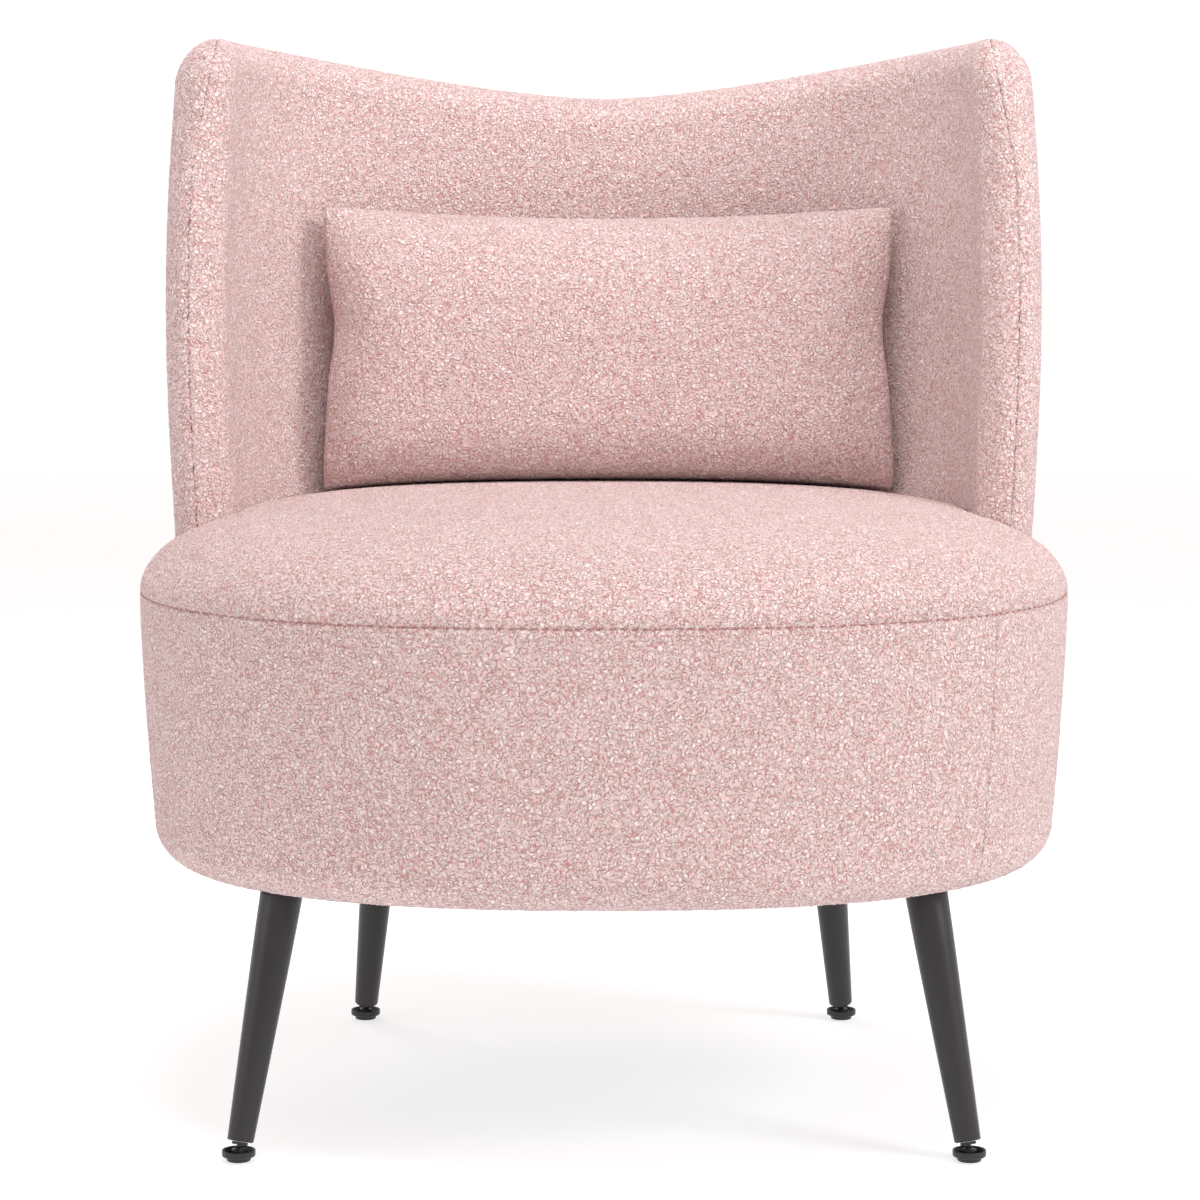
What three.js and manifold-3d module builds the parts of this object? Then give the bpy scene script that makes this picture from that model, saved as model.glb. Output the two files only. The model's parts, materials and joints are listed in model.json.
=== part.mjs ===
// Upholstered lounge chair: an oval drum seat, a wrap-round back shell with raised wings that stands on
// it, a loose lumbar pillow and four splayed steel legs on swivelling screw glides.
// Millimetres, +Z up. +X is the sitter's left, the chair faces -Y, and the floor is at Z = 0.

import * as THREE from 'three';
import { mergeVertices } from 'three/addons/utils/BufferGeometryUtils.js';
import Module from 'manifold-3d';

const wasm = await Module();
wasm.setup();

// ---------- clearances and cloth ----------
const GAP = 0.3; // between pieces that touch
const FIT = 0.5; // between the back's bent layers
const POCKET = 0.8; // round the back where it stands in the seat
const CLOTH = 2.7; // pile fabric with its backing
const FELT = 3;
const DUST_CLOTH = 0.7;

// ---------- seat drum ----------
const SEAT_HALF_WIDTH = 363;
const SEAT_HALF_DEPTH = 307;
const PLAN_POWER = 2.4; // superellipse exponent of the seat and the back in plan
const SEAM_Z = 408; // sewn seam between the domed top and the side band
const SEAT_BOTTOM_Z = 198; // lowest fabric
const DOME_RISE = 70; // crown above the seam
const DOME_POWER = 4.5; // how squarely the dome rolls over its edge
const BAND_TAPER = 9.6; // the side leans in by this towards the bottom
const BAND_TAPER_POWER = 1.5;
const BOTTOM_ROUND = 30; // radius of the rounded bottom edge
const HEM_REACH = 7; // fabric turned under past the rounded edge
const DUST_MARGIN = 6; // the dust cover stops this far inside the rounded edge
const BAND_SEAM_LEFT = 21.4; // degrees forward of the side, on -X
const BAND_SEAM_RIGHT = 40.4; // degrees forward of the side, on +X

// ---------- seat frame ----------
const PLY = 18;
const BASE_GAP_Z = 3; // from the lowest fabric to the base board
const BASE_INSET = 49.6;
const RING_TOP_Z = 354;
const RING_INSET = 21.6;
const BORDER_BOARD = 3;
const POST_SIZE = 30;
const POST_INSET = 72;
const POST_ANGLES = [25, 90, 155, 205, 270, 335];
const SPRING_XS = [-164, -82, 0, 82, 164];
const SPRING_CLEARANCE = 17; // from the back's inner face to the springs' ends
const SPRING_SEAT = 7; // length of a spring that lies on the ring
const SPRING_WIRE = 3.6;
const SPRING_WAVE = 21;
const SPRING_PITCH = 62;
const SPRING_ARCH = 7;
const FELT_SETBACK = 2; // the felt stops this far inside the springs' ends

// ---------- back shell ----------
const BACK_CENTRE_Y = -10; // the wings' front edges stand this far from the seat's centre
const BACK_OUTSET = 22; // seam to outer face
const BACK_INSET = 28; // seam to inner face
const BACK_SIDE_STEP = 43; // from the seat's side to the back's seam line
const BACK_REAR_STEP = 37; // from the seat's rear to the back's seam line
const BACK_LEAN = 9; // degrees
const BACK_LEAN_Z = 452; // the height where the lean starts counting
const BACK_BULGE = 9; // the sides swell by this at mid height
const BACK_BULGE_FROM_Z = 440;
const WALL_FACETS = 16;
const WALL_ROW = 80; // height of a board's rows
const BACK_TOP_Z = 795; // middle of the top edge
const WING_RISE = 43; // wing tips above the middle
const WING_RISE_POWER = 1.6;
const WING_FLAT_FROM = 0.86; // share of the half length where the rise is complete
const WING_CORNER = 35; // radius of the wing's top front corner
const EDGE_ROUND = 26; // how far in from the edge the padding reaches full thickness
const OUTER_WADDING = 6;
const BACK_PANEL = 3;
const BACK_FRAME_DROP = 22; // frame edge below the fabric edge
const BOTTOM_RAIL_HEIGHT = 36;
const TOP_RAIL_HEIGHT = 40;
const RIB_WIDTH = 44;
const RIB_PLACES = [-0.94, -0.5, 0, 0.5, 0.94];
const BOLT_PLACES = [-0.75, -0.25, 0.25, 0.75];
const BOLT_RADIUS = 4;
const BOLT_HEAD_RADIUS = 7;
const BOLT_HEAD = 4;
const BOLT_BITE = 26; // length in the bottom rail

// ---------- lumbar pillow ----------
const PILLOW_CENTRE_X = 4; // the loose pillow lies a little to one side
const PILLOW_SIDE_ROOM = 79; // from the back's seam line to the pillow's end
const PILLOW_HALF_HEIGHT = 116;
const PILLOW_REAR_ROOM = 42; // from the back's inner face to the pillow's middle plane
const PILLOW_SINK = 3; // how far below the seat's crown the pillow reaches
const PILLOW_FRONT = 58;
const PILLOW_REAR = 54;
const PILLOW_BOW = 34; // the ends curve forward by this
const PILLOW_SIDE_PULL = 12;
const PILLOW_TOP_PULL = 9;
const PILLOW_ROWS = [-1, -0.97, -0.85, -0.55, 0, 0.55, 0.85, 0.97, 1];
const PILLOW_COLUMNS = [-1, -0.98, -0.9, -0.7, -0.35, 0, 0.35, 0.7, 0.9, 0.98, 1];

// ---------- legs and glides ----------
const FRONT_LEG = { angle: 39.57, inset: 62.4, splay: [30, 56] }; // the head's place, then out to the foot
const REAR_LEG = { angle: 54.92, inset: 64.7, splay: [19, 41] };
const LEG_TOP_RADIUS = 16.5;
const LEG_END_RADIUS = 9.9;
const LEG_WALL = 1.5;
const LEG_SQUARING = 60; // length over which the head turns level
const LEG_CAP = 4;
const LEG_STUD = 24;
const STUD_RADIUS = 3.9;
const THREAD_GAP = 0.4;
const TEE_WALL = 1.3;
const TEE_FLANGE_RADIUS = 11;
const TEE_FLANGE = 1.6;
const TEE_BARREL = 12;
const GLIDE_PLUG = 12; // threaded plug in the leg's end
const GLIDE_BALL = 3.6;
const GLIDE_BALL_Z = 7.2;
const GLIDE_NECK = 2.1;
const GLIDE_HEX_RADIUS = 6.6;
const GLIDE_HEX_FROM = 4.6; // above the ball's centre
const GLIDE_HEX = 2.2;
const GLIDE_STEM = 20;
const GLIDE_PAD_RADIUS = 9;
const GLIDE_DISH_RADIUS = 12.5;

const BACK_HALF_WIDTH = SEAT_HALF_WIDTH - BACK_SIDE_STEP;
const BACK_DEPTH = SEAT_HALF_DEPTH - BACK_REAR_STEP - BACK_CENTRE_Y;
const SPRING_END_INSET = Math.max(BACK_SIDE_STEP, BACK_REAR_STEP) + BACK_INSET + SPRING_CLEARANCE;
const RING_OPENING_INSET = SPRING_END_INSET + SPRING_SEAT;
const FELT_INSET = SPRING_END_INSET + FELT_SETBACK;
const PILLOW_HALF_WIDTH = BACK_HALF_WIDTH - PILLOW_SIDE_ROOM;
const PILLOW_CENTRE_Y = BACK_CENTRE_Y + BACK_DEPTH - BACK_INSET - PILLOW_REAR_ROOM;
const PILLOW_CENTRE_Z = SEAM_Z + DOME_RISE - PILLOW_SINK + PILLOW_HALF_HEIGHT;

const BASE_BOTTOM_Z = SEAT_BOTTOM_Z + BASE_GAP_Z;
const BASE_TOP_Z = BASE_BOTTOM_Z + PLY;
const RING_BOTTOM_Z = RING_TOP_Z - PLY;
const DUST_TOP_Z = SEAT_BOTTOM_Z - GAP;
const LEG_TOP_Z = DUST_TOP_Z - DUST_CLOTH - GAP;
const LEG_END = GLIDE_HEX_FROM + GLIDE_HEX + GAP;

const PLAN_STEP = 10; // degrees between the seat's facets
const rad = THREE.MathUtils.degToRad;
const UP = new THREE.Vector3(0, 0, 1);

const LEGS = [
  placeLeg('front_left', -1, -1, FRONT_LEG),
  placeLeg('front_right', 1, -1, FRONT_LEG),
  placeLeg('rear_left', -1, 1, REAR_LEG),
  placeLeg('rear_right', 1, 1, REAR_LEG),
];

// A leg's head and foot in plan, on the given side and end of the seat. The head stands on an oval that is
// inset from the seat's own.
function placeLeg(name, side, end, { angle, inset, splay }) {
  const [x, y] = ovalPoint(SEAT_HALF_WIDTH - inset, SEAT_HALF_DEPTH - inset, angle);
  return { name, head: [side * x, end * y], foot: [side * (x + splay[0]), end * (y + splay[1])] };
}

// ---------- finishes ----------
function finish(color, roughness, metalness) {
  return new THREE.MeshStandardMaterial({ color, roughness, metalness });
}

const teddy = finish('#ddc1be', 0.95, 0);
const foam = finish('#efe6c8', 0.9, 0);
const felt = finish('#8d8a84', 0.95, 0);
const plywood = finish('#c9a878', 0.7, 0);
const fibreboard = finish('#8a6a48', 0.8, 0);
const dustCloth = finish('#1d1d1e', 0.9, 0);
const blackSteel = finish('#2b2827', 0.45, 0.3);
const springSteel = finish('#9b9da0', 0.35, 0.9);
const zincSteel = finish('#b9bcc0', 0.4, 0.9);
const blackPlastic = finish('#151515', 0.4, 0);

const chair = new THREE.Group();

function addPiece(name, geometry, material) {
  const mesh = new THREE.Mesh(geometry, material);
  mesh.name = name;
  chair.add(mesh);
  return mesh;
}

// ---------- closed bodies from grids of points ----------

// Two sheets of points, front and back, over the same grid, stitched along every edge that doesn't wrap.
// pointFront(i, j) and pointBack(i, j) give [x, y, z] for i in 0..rows and j in 0..columns.
function sheetBody(pointFront, pointBack, rows, columns, wrap) {
  const corners = [];
  const addTriangle = (a, b, c) => {
    const same = (p, q) => Math.hypot(p[0] - q[0], p[1] - q[1], p[2] - q[2]) < 1e-4;
    if (!same(a, b) && !same(b, c) && !same(c, a)) {
      corners.push(...a, ...b, ...c);
    }
  };
  const addQuad = (a, b, c, d) => {
    addTriangle(a, b, c);
    addTriangle(a, c, d);
  };
  const column = (j) => (wrap ? j % columns : j);
  const front = (i, j) => pointFront(i, column(j));
  const back = (i, j) => pointBack(i, column(j));
  for (let i = 0; i < rows; i += 1) {
    for (let j = 0; j < columns; j += 1) {
      addQuad(front(i, j), front(i + 1, j), front(i + 1, j + 1), front(i, j + 1));
      addQuad(back(i, j), back(i, j + 1), back(i + 1, j + 1), back(i + 1, j));
    }
  }
  for (let j = 0; j < columns; j += 1) {
    addQuad(front(0, j), front(0, j + 1), back(0, j + 1), back(0, j));
    addQuad(front(rows, j), back(rows, j), back(rows, j + 1), front(rows, j + 1));
  }
  for (let i = 0; i < rows && !wrap; i += 1) {
    addQuad(front(i, 0), back(i, 0), back(i + 1, 0), front(i + 1, 0));
    addQuad(front(i, columns), front(i + 1, columns), back(i + 1, columns), back(i, columns));
  }
  const geometry = new THREE.BufferGeometry();
  geometry.setAttribute('position', new THREE.Float32BufferAttribute(corners, 3));
  geometry.computeVertexNormals();
  return geometry;
}

function toSolid(geometry) {
  const bare = geometry.clone();
  bare.deleteAttribute('normal');
  bare.deleteAttribute('uv');
  const merged = mergeVertices(bare, 1e-4);
  return new wasm.Manifold(new wasm.Mesh({
    numProp: 3,
    vertProperties: new Float32Array(merged.attributes.position.array),
    triVerts: new Uint32Array(merged.index.array),
  }));
}

function toGeometry(solid) {
  const mesh = solid.getMesh();
  const geometry = new THREE.BufferGeometry();
  geometry.setAttribute('position', new THREE.BufferAttribute(new Float32Array(mesh.vertProperties), 3));
  geometry.setIndex(new THREE.BufferAttribute(new Uint32Array(mesh.triVerts), 1));
  geometry.computeVertexNormals();
  return geometry;
}

function cut(geometry, ...tools) {
  return toGeometry(tools.reduce((solid, tool) => solid.subtract(toSolid(tool)), toSolid(geometry)));
}

// A lathe about Z: profile points are [radius, height], from the axis to the axis or closed on itself.
function lathe(profile, segments) {
  const points = profile.map(([r, h]) => new THREE.Vector2(r, h));
  const geometry = new THREE.LatheGeometry(points, segments);
  geometry.rotateX(Math.PI / 2);
  return geometry;
}

// ---------- the seat's oval ----------

// A point of the oval with half axes (a, b): angle 0 is +X and 90 degrees is +Y.
function ovalPoint(a, b, degrees) {
  const power = 2 / PLAN_POWER;
  const c = Math.cos(rad(degrees));
  const s = Math.sin(rad(degrees));
  return [a * Math.sign(c) * Math.abs(c) ** power, b * Math.sign(s) * Math.abs(s) ** power];
}

// A point of the seat's plan, drawn with flat facets between fixed angles, so that one oval nests in the
// next whatever part of the way round it covers.
function seatPoint(share, inset, degrees, z) {
  const a = SEAT_HALF_WIDTH * share - inset;
  const b = SEAT_HALF_DEPTH * share - inset;
  const facet = Math.floor(degrees / PLAN_STEP);
  const along = degrees / PLAN_STEP - facet;
  const [x0, y0] = ovalPoint(a, b, facet * PLAN_STEP);
  const [x1, y1] = ovalPoint(a, b, (facet + 1) * PLAN_STEP);
  return [x0 + (x1 - x0) * along, y0 + (y1 - y0) * along, z];
}

// A value list from one end to the other with every multiple of step between them.
function stations(from, to, step) {
  const places = [from];
  for (let k = Math.ceil(from / step); k * step < to; k += 1) {
    if (k * step > from) {
      places.push(k * step);
    }
  }
  return [...places, to];
}

// A ring or disc whose front and back sheets are lists of [share, inset, z] rows. The rows run outwards
// or downwards and the angles anticlockwise from above, so that the front sheet faces out.
function ovalBody(frontRows, backRows, from = 0, to = 360) {
  const places = stations(from, to, PLAN_STEP);
  const pick = (rows) => (i, j) => seatPoint(rows[i][0], rows[i][1], places[j], rows[i][2]);
  const wrap = to - from === 360;
  return sheetBody(pick(frontRows), pick(backRows), frontRows.length - 1, places.length - 1, wrap);
}

// A flat board between two heights, from one inset to another, or to the centre.
function ovalBoard(inset, bottom, top, openingInset) {
  const inner = openingInset === undefined ? [0, 0] : [1, openingInset];
  return ovalBody([[...inner, top], [1, inset, top]], [[...inner, bottom], [1, inset, bottom]]);
}

// The dome's rows at a depth below the fabric's face.
const recessShare = 1 - SPRING_END_INSET / Math.max(SEAT_HALF_WIDTH, SEAT_HALF_DEPTH);
const DOME_SHARES = [0, recessShare, recessShare + 0.05, 0.9, 0.96, 0.99, 1];

function domeRows(depth) {
  return DOME_SHARES.map((share) => {
    const height = (DOME_RISE - depth) * Math.sqrt(1 - share ** DOME_POWER);
    return [share, depth * share, SEAM_Z + height];
  });
}

const roundZ = SEAT_BOTTOM_Z + BOTTOM_ROUND;

// How far the side leans in at a height above the rounded edge.
function bandInset(z) {
  return BAND_TAPER * Math.max((SEAM_Z - z) / (SEAM_Z - roundZ), 0) ** BAND_TAPER_POWER;
}

// The side band's rows at a depth below its face, from a height down to the rounded bottom edge.
function bandRows(depth, fromZ) {
  const rows = [];
  for (let k = 0; k <= 3; k += 1) {
    const z = fromZ + ((roundZ - fromZ) * k) / 3;
    rows.push([1, bandInset(z) + depth, z]);
  }
  for (let k = 1; k <= 3; k += 1) {
    const turn = (k / 3) * (Math.PI / 2);
    const radius = BOTTOM_ROUND - depth;
    const inset = BAND_TAPER + BOTTOM_ROUND - radius * Math.cos(turn);
    rows.push([1, inset, roundZ - radius * Math.sin(turn)]);
  }
  return rows;
}

// ---------- the back shell's curved space ----------

// The seam line in plan, the rear half of the oval about BACK_CENTRE_Y, stepped by equal lengths from
// the left wing's front edge round to the right one's.
const wallTable = (() => {
  const fine = [];
  let length = 0;
  for (let k = 0; k <= 1440; k += 1) {
    const [x, y] = ovalPoint(BACK_HALF_WIDTH, BACK_DEPTH, 180 - k / 8);
    length += k > 0 ? Math.hypot(x - fine[k - 1].x, y - fine[k - 1].y) : 0;
    fine.push({ x, y, length });
  }
  const table = [];
  for (let k = 0; k <= WALL_FACETS; k += 1) {
    const want = (length * k) / WALL_FACETS;
    const after = Math.max(fine.findIndex((point) => point.length >= want - 1e-6), 1);
    const here = fine[after];
    const low = fine[Math.max(after - 6, 0)];
    const high = fine[Math.min(after + 6, fine.length - 1)];
    const span = Math.hypot(high.x - low.x, high.y - low.y);
    table.push({ x: k === 0 ? fine[0].x : here.x, y: k === 0 ? fine[0].y : here.y,
      nx: -(high.y - low.y) / span, ny: (high.x - low.x) / span });
  }
  table.halfLength = length / 2;
  return table;
})();
const WALL_HALF_LENGTH = wallTable.halfLength;
const WALL_STEP = (2 * WALL_HALF_LENGTH) / WALL_FACETS;

// The facet that holds a distance s along the wall, and the share of the way across it.
function wallFacet(s) {
  const place = (s + WALL_HALF_LENGTH) / WALL_STEP;
  const facet = THREE.MathUtils.clamp(Math.floor(place), 0, WALL_FACETS - 1);
  return [facet, place - facet];
}

// A point of the shell: s along the wall from the middle of the back, z up, out from the seam line towards
// the outer face, and how far the sides swell there. Flat facets between fixed stations let one layer nest
// in the next.
function wallPoint(s, z, out, bulge = 0) {
  const [facet, along] = wallFacet(s);
  const lean = Math.tan(rad(BACK_LEAN)) * (z - BACK_LEAN_Z);
  const corner = (station) => {
    const side = Math.sign(station.x) * (station.x / BACK_HALF_WIDTH) ** 2;
    return [station.x + station.nx * out + bulge * side, station.y + station.ny * out];
  };
  const [x0, y0] = corner(wallTable[facet]);
  const [x1, y1] = corner(wallTable[facet + 1]);
  return [x0 + (x1 - x0) * along, y0 + (y1 - y0) * along + BACK_CENTRE_Y + lean, z];
}

// The top edge before its front corners are rounded.
function wallTop(s) {
  const [facet, along] = wallFacet(s);
  const height = (station) => {
    const fromMiddle = Math.abs((2 * station) / WALL_FACETS - 1);
    const share = Math.min(fromMiddle / WING_FLAT_FROM, 1);
    return BACK_TOP_Z + WING_RISE * Math.sin((share * Math.PI) / 2) ** WING_RISE_POWER;
  };
  return height(facet) + (height(facet + 1) - height(facet)) * along;
}

// How far the padding swells at the sides at a height.
function wallBulge(z) {
  const share = Math.max(z - BACK_BULGE_FROM_Z, 0) / (BACK_TOP_Z + WING_RISE - BACK_BULGE_FROM_Z);
  return BACK_BULGE * Math.sin(Math.PI * Math.min(share, 1));
}

// How far the top edge drops at a wing's rounded front corner of the given radius.
function cornerDrop(fromFront, radius) {
  return fromFront >= radius ? 0 : radius - Math.sqrt(radius ** 2 - (radius - fromFront) ** 2);
}

// Both faces of the padded shell at a depth below the fabric's face. The padding thins to nothing at the
// seam, which runs along the top edge and down the wings' front edges.
function wallSheets(depth, bottomZ) {
  const round = EDGE_ROUND - depth;
  const corner = WING_CORNER - depth;
  const half = WALL_HALF_LENGTH - depth;
  const edgeSteps = [0, 0.1, 0.4, 1].map((share) => share * round);
  const fields = stations(round - half, half - round, WALL_STEP);
  const leftEdge = edgeSteps.slice(0, -1).map((step) => step - half);
  const rightEdge = edgeSteps.slice(0, -1).map((step) => half - step).reverse();
  const places = [...leftEdge, ...fields, ...rightEdge];
  const lowSteps = 5;
  const rowCount = edgeSteps.length + lowSteps;
  const rowZ = (i, s) => {
    const top = wallTop(s) - depth - cornerDrop(half - Math.abs(s), corner);
    if (i < edgeSteps.length) {
      return top - edgeSteps[i];
    }
    const low = top - round;
    return low + ((bottomZ - low) * (i - edgeSteps.length + 1)) / lowSteps;
  };
  const fullness = (s, z) => {
    const fromFront = half - Math.abs(s);
    const fromTop = wallTop(s) - depth - z;
    const inCorner = fromFront < corner && fromTop < corner;
    const edge = inCorner ? corner - Math.hypot(corner - fromFront, corner - fromTop)
      : Math.min(fromFront, fromTop);
    const share = THREE.MathUtils.clamp(edge / round, 0, 1);
    return Math.sqrt(1 - (1 - share) ** 2);
  };
  const sheet = (reach) => (i, j) => {
    const s = places[j];
    const z = rowZ(i, s);
    const out = Math.sign(reach) * (GAP / 2 + (Math.abs(reach) - GAP / 2) * fullness(s, z));
    return wallPoint(s, z, out, wallBulge(z));
  };
  return {
    outer: sheet(BACK_OUTSET - depth),
    inner: sheet(depth - BACK_INSET),
    rows: rowCount - 1,
    columns: places.length - 1,
  };
}

// The whole padded shell as one solid, grown or shrunk by depth.
function wallEnvelope(depth, bottomZ) {
  const sheets = wallSheets(depth, bottomZ);
  return sheetBody(sheets.inner, sheets.outer, sheets.rows, sheets.columns, false);
}

// A board bent to the wall from s0 to s1, between two distances out from the seam line. Its bottom and top
// are heights, or functions of s that give them.
function wallBoard(s0, s1, bottom, top, inner, outer) {
  const places = stations(s0, s1, WALL_STEP);
  const value = (height, s) => (typeof height === 'function' ? height(s) : height);
  const rows = Math.ceil((value(top, (s0 + s1) / 2) - value(bottom, (s0 + s1) / 2)) / WALL_ROW);
  const rowZ = (i, s) => value(top, s) + ((value(bottom, s) - value(top, s)) * i) / rows;
  const sheet = (out) => (i, j) => wallPoint(places[j], rowZ(i, places[j]), out);
  return sheetBody(sheet(inner), sheet(outer), rows, places.length - 1, false);
}

// ---------- seat ----------
const borderTopZ = RING_TOP_Z - GAP;
const borderFootZ = BASE_BOTTOM_Z + GAP;

// The border board leans from the base board's edge out to the ring's edge.
function borderInset(z) {
  const share = (z - BASE_BOTTOM_Z) / (RING_BOTTOM_Z - BASE_BOTTOM_Z);
  return BASE_INSET - GAP + (RING_INSET - BASE_INSET) * share;
}

function borderRows(outward) {
  return [borderTopZ, borderFootZ].map((z) => [1, borderInset(z) - outward, z]);
}

function upright(radius, length, sides, x, y, z) {
  const rod = new THREE.CylinderGeometry(radius, radius, length, sides);
  rod.rotateX(Math.PI / 2);
  rod.translate(x, y, z);
  return rod;
}

function makeStudHole(leg, radius, z) {
  return upright(radius, 3 * PLY, 12, leg.head[0], leg.head[1], z);
}

function makeBoltHole(share, length, z) {
  const [x, y] = boltPlace(share);
  return upright(BOLT_RADIUS + THREAD_GAP, length, 10, x, y, z);
}

function makeDustCover() {
  const sheet = ovalBoard(BAND_TAPER + BOTTOM_ROUND + DUST_MARGIN, DUST_TOP_Z - DUST_CLOTH, DUST_TOP_Z);
  return cut(sheet, ...LEGS.map((leg) => makeStudHole(leg, STUD_RADIUS + THREAD_GAP, DUST_TOP_Z)));
}

const teeBore = STUD_RADIUS + THREAD_GAP + TEE_WALL + GAP;

function makeBaseBoard() {
  const board = ovalBoard(BASE_INSET, BASE_BOTTOM_Z, BASE_TOP_Z);
  return cut(board, ...LEGS.map((leg) => makeStudHole(leg, teeBore, BASE_BOTTOM_Z)));
}

function makeTeeNut() {
  const bore = STUD_RADIUS + THREAD_GAP;
  const barrel = bore + TEE_WALL;
  return lathe([
    [bore, -TEE_BARREL],
    [barrel, -TEE_BARREL],
    [barrel, GAP],
    [TEE_FLANGE_RADIUS, GAP],
    [TEE_FLANGE_RADIUS, GAP + TEE_FLANGE],
    [bore, GAP + TEE_FLANGE],
    [bore, -TEE_BARREL],
  ], 12);
}

const frameOuter = BACK_OUTSET - CLOTH - FIT - OUTER_WADDING - FIT;
const frameInner = frameOuter - PLY;

function boltPlace(share) {
  return wallPoint(share * WALL_HALF_LENGTH, RING_TOP_Z + BOLT_BITE / 2, (frameOuter + frameInner) / 2);
}

function makeSpringRing() {
  const ring = ovalBoard(RING_INSET, RING_BOTTOM_Z, RING_TOP_Z, RING_OPENING_INSET);
  return cut(ring, ...BOLT_PLACES.map((share) => makeBoltHole(share, 3 * PLY, RING_TOP_Z - PLY / 2)));
}

// A zigzag wire from front to back with a slight arch, laid on the ring.
class SpringLine extends THREE.Curve {
  constructor(x, halfLength) {
    super();
    this.x = x;
    this.halfLength = halfLength;
  }

  getPoint(t, target = new THREE.Vector3()) {
    const y = this.halfLength * (2 * t - 1);
    const waves = Math.round((2 * this.halfLength) / SPRING_PITCH);
    const ease = Math.min(1, 6 * t, 6 * (1 - t));
    const x = this.x + SPRING_WAVE * ease * Math.sin(2 * Math.PI * waves * t);
    const rise = SPRING_ARCH * (1 - (2 * t - 1) ** 2);
    return target.set(x, y, RING_TOP_Z + GAP + SPRING_WIRE / 2 + rise);
  }
}

function makeSpring(x) {
  const a = SEAT_HALF_WIDTH - SPRING_END_INSET;
  const b = SEAT_HALF_DEPTH - SPRING_END_INSET;
  const halfLength = b * (1 - (Math.abs(x) / a) ** PLAN_POWER) ** (1 / PLAN_POWER);
  const section = new THREE.Shape();
  const sides = 4;
  for (let k = 0; k < sides; k += 1) {
    const turn = (2 * Math.PI * k) / sides;
    const corner = [(SPRING_WIRE / 2) * Math.cos(turn), (SPRING_WIRE / 2) * Math.sin(turn)];
    section[k === 0 ? 'moveTo' : 'lineTo'](...corner);
  }
  const waves = Math.round((2 * halfLength) / SPRING_PITCH);
  return new THREE.ExtrudeGeometry(section, {
    steps: waves * 7,
    bevelEnabled: false,
    extrudePath: new SpringLine(x, halfLength),
  });
}

const FELT_BOTTOM_Z = RING_TOP_Z + SPRING_WIRE + SPRING_ARCH + 3 * GAP;
const FOAM_RECESS_Z = FELT_BOTTOM_Z + FELT + GAP;
const backPocket = wallEnvelope(-POCKET, RING_TOP_Z - PLY);

function makeSeatFoam() {
  const front = domeRows(CLOTH + GAP);
  const rim = CLOTH + GAP + FIT + bandInset(RING_TOP_Z);
  const back = front.map(([share]) => (
    share <= recessShare ? [share, 0, FOAM_RECESS_Z] : [share, rim * share, RING_TOP_Z + GAP]));
  return cut(ovalBody(front, back), backPocket);
}

function makeSeatTopCover() {
  const front = domeRows(0);
  const back = domeRows(CLOTH);
  back.forEach((row) => {
    row[2] = Math.max(row[2], SEAM_Z + GAP);
  });
  front[front.length - 1][2] = SEAM_Z + GAP;
  return cut(ovalBody(front, back), backPocket);
}

function makeBorderFoam() {
  const front = bandRows(CLOTH + GAP, borderTopZ);
  const back = front.map((row, i) => {
    const z = borderTopZ + ((borderFootZ - borderTopZ) * i) / (front.length - 1);
    return [1, borderInset(z) - BORDER_BOARD - GAP, z];
  });
  return ovalBody(front, back);
}

// The band's fabric over part of the way round, in degrees from +X, turned under at the bottom.
function makeBand(from, to) {
  const front = bandRows(0, SEAM_Z - GAP);
  const back = bandRows(CLOTH, SEAM_Z - GAP);
  const hem = BAND_TAPER + BOTTOM_ROUND + HEM_REACH;
  front.push([1, hem, SEAT_BOTTOM_Z]);
  back.push([1, hem, SEAT_BOTTOM_Z + CLOTH]);
  return ovalBody(front, back, from, to);
}

const seamHalfGap = THREE.MathUtils.radToDeg(GAP / SEAT_HALF_DEPTH);

function addSeat() {
  addPiece('dust_cover', makeDustCover(), dustCloth);
  addPiece('base_board', makeBaseBoard(), plywood);
  POST_ANGLES.forEach((angle, k) => {
    const height = RING_BOTTOM_Z - BASE_TOP_Z - 2 * GAP;
    const block = new THREE.BoxGeometry(POST_SIZE, POST_SIZE, height);
    const post = addPiece(`seat_post_${k + 1}`, block, plywood);
    const [x, y] = seatPoint(1, POST_INSET, angle, 0);
    post.position.set(x, y, BASE_TOP_Z + GAP + height / 2);
  });
  addPiece('spring_ring', makeSpringRing(), plywood);
  SPRING_XS.forEach((x, k) => {
    addPiece(`seat_spring_${k + 1}`, makeSpring(x), springSteel);
  });
  addPiece('spring_felt', ovalBoard(FELT_INSET, FELT_BOTTOM_Z, FELT_BOTTOM_Z + FELT), felt);
  addPiece('border_board', ovalBody(borderRows(BORDER_BOARD), borderRows(0)), fibreboard);
  addPiece('seat_foam', makeSeatFoam(), foam);
  addPiece('border_foam', makeBorderFoam(), foam);
  addPiece('seat_top_cover', makeSeatTopCover(), teddy);
  const left = 180 + BAND_SEAM_LEFT;
  const right = 360 - BAND_SEAM_RIGHT;
  addPiece('seat_front_band', makeBand(left + seamHalfGap, right - seamHalfGap), teddy);
  addPiece('seat_rear_band', makeBand(right + seamHalfGap - 360, left - seamHalfGap), teddy);
}

// ---------- back ----------
const wallFootZ = RING_TOP_Z + GAP;
const frameHalf = WALL_HALF_LENGTH - BACK_FRAME_DROP;

function frameTop(s) {
  return wallTop(s) - BACK_FRAME_DROP;
}

function makeBackFoam() {
  const body = wallEnvelope(CLOTH + FIT, wallFootZ);
  const outer = frameOuter + FIT;
  const inner = frameInner - BACK_PANEL - GAP - FIT;
  const reach = frameHalf + FIT;
  const pocket = wallBoard(-reach, reach, wallFootZ - PLY, (s) => frameTop(s) + FIT, inner, outer);
  return cut(body, pocket);
}

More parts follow.
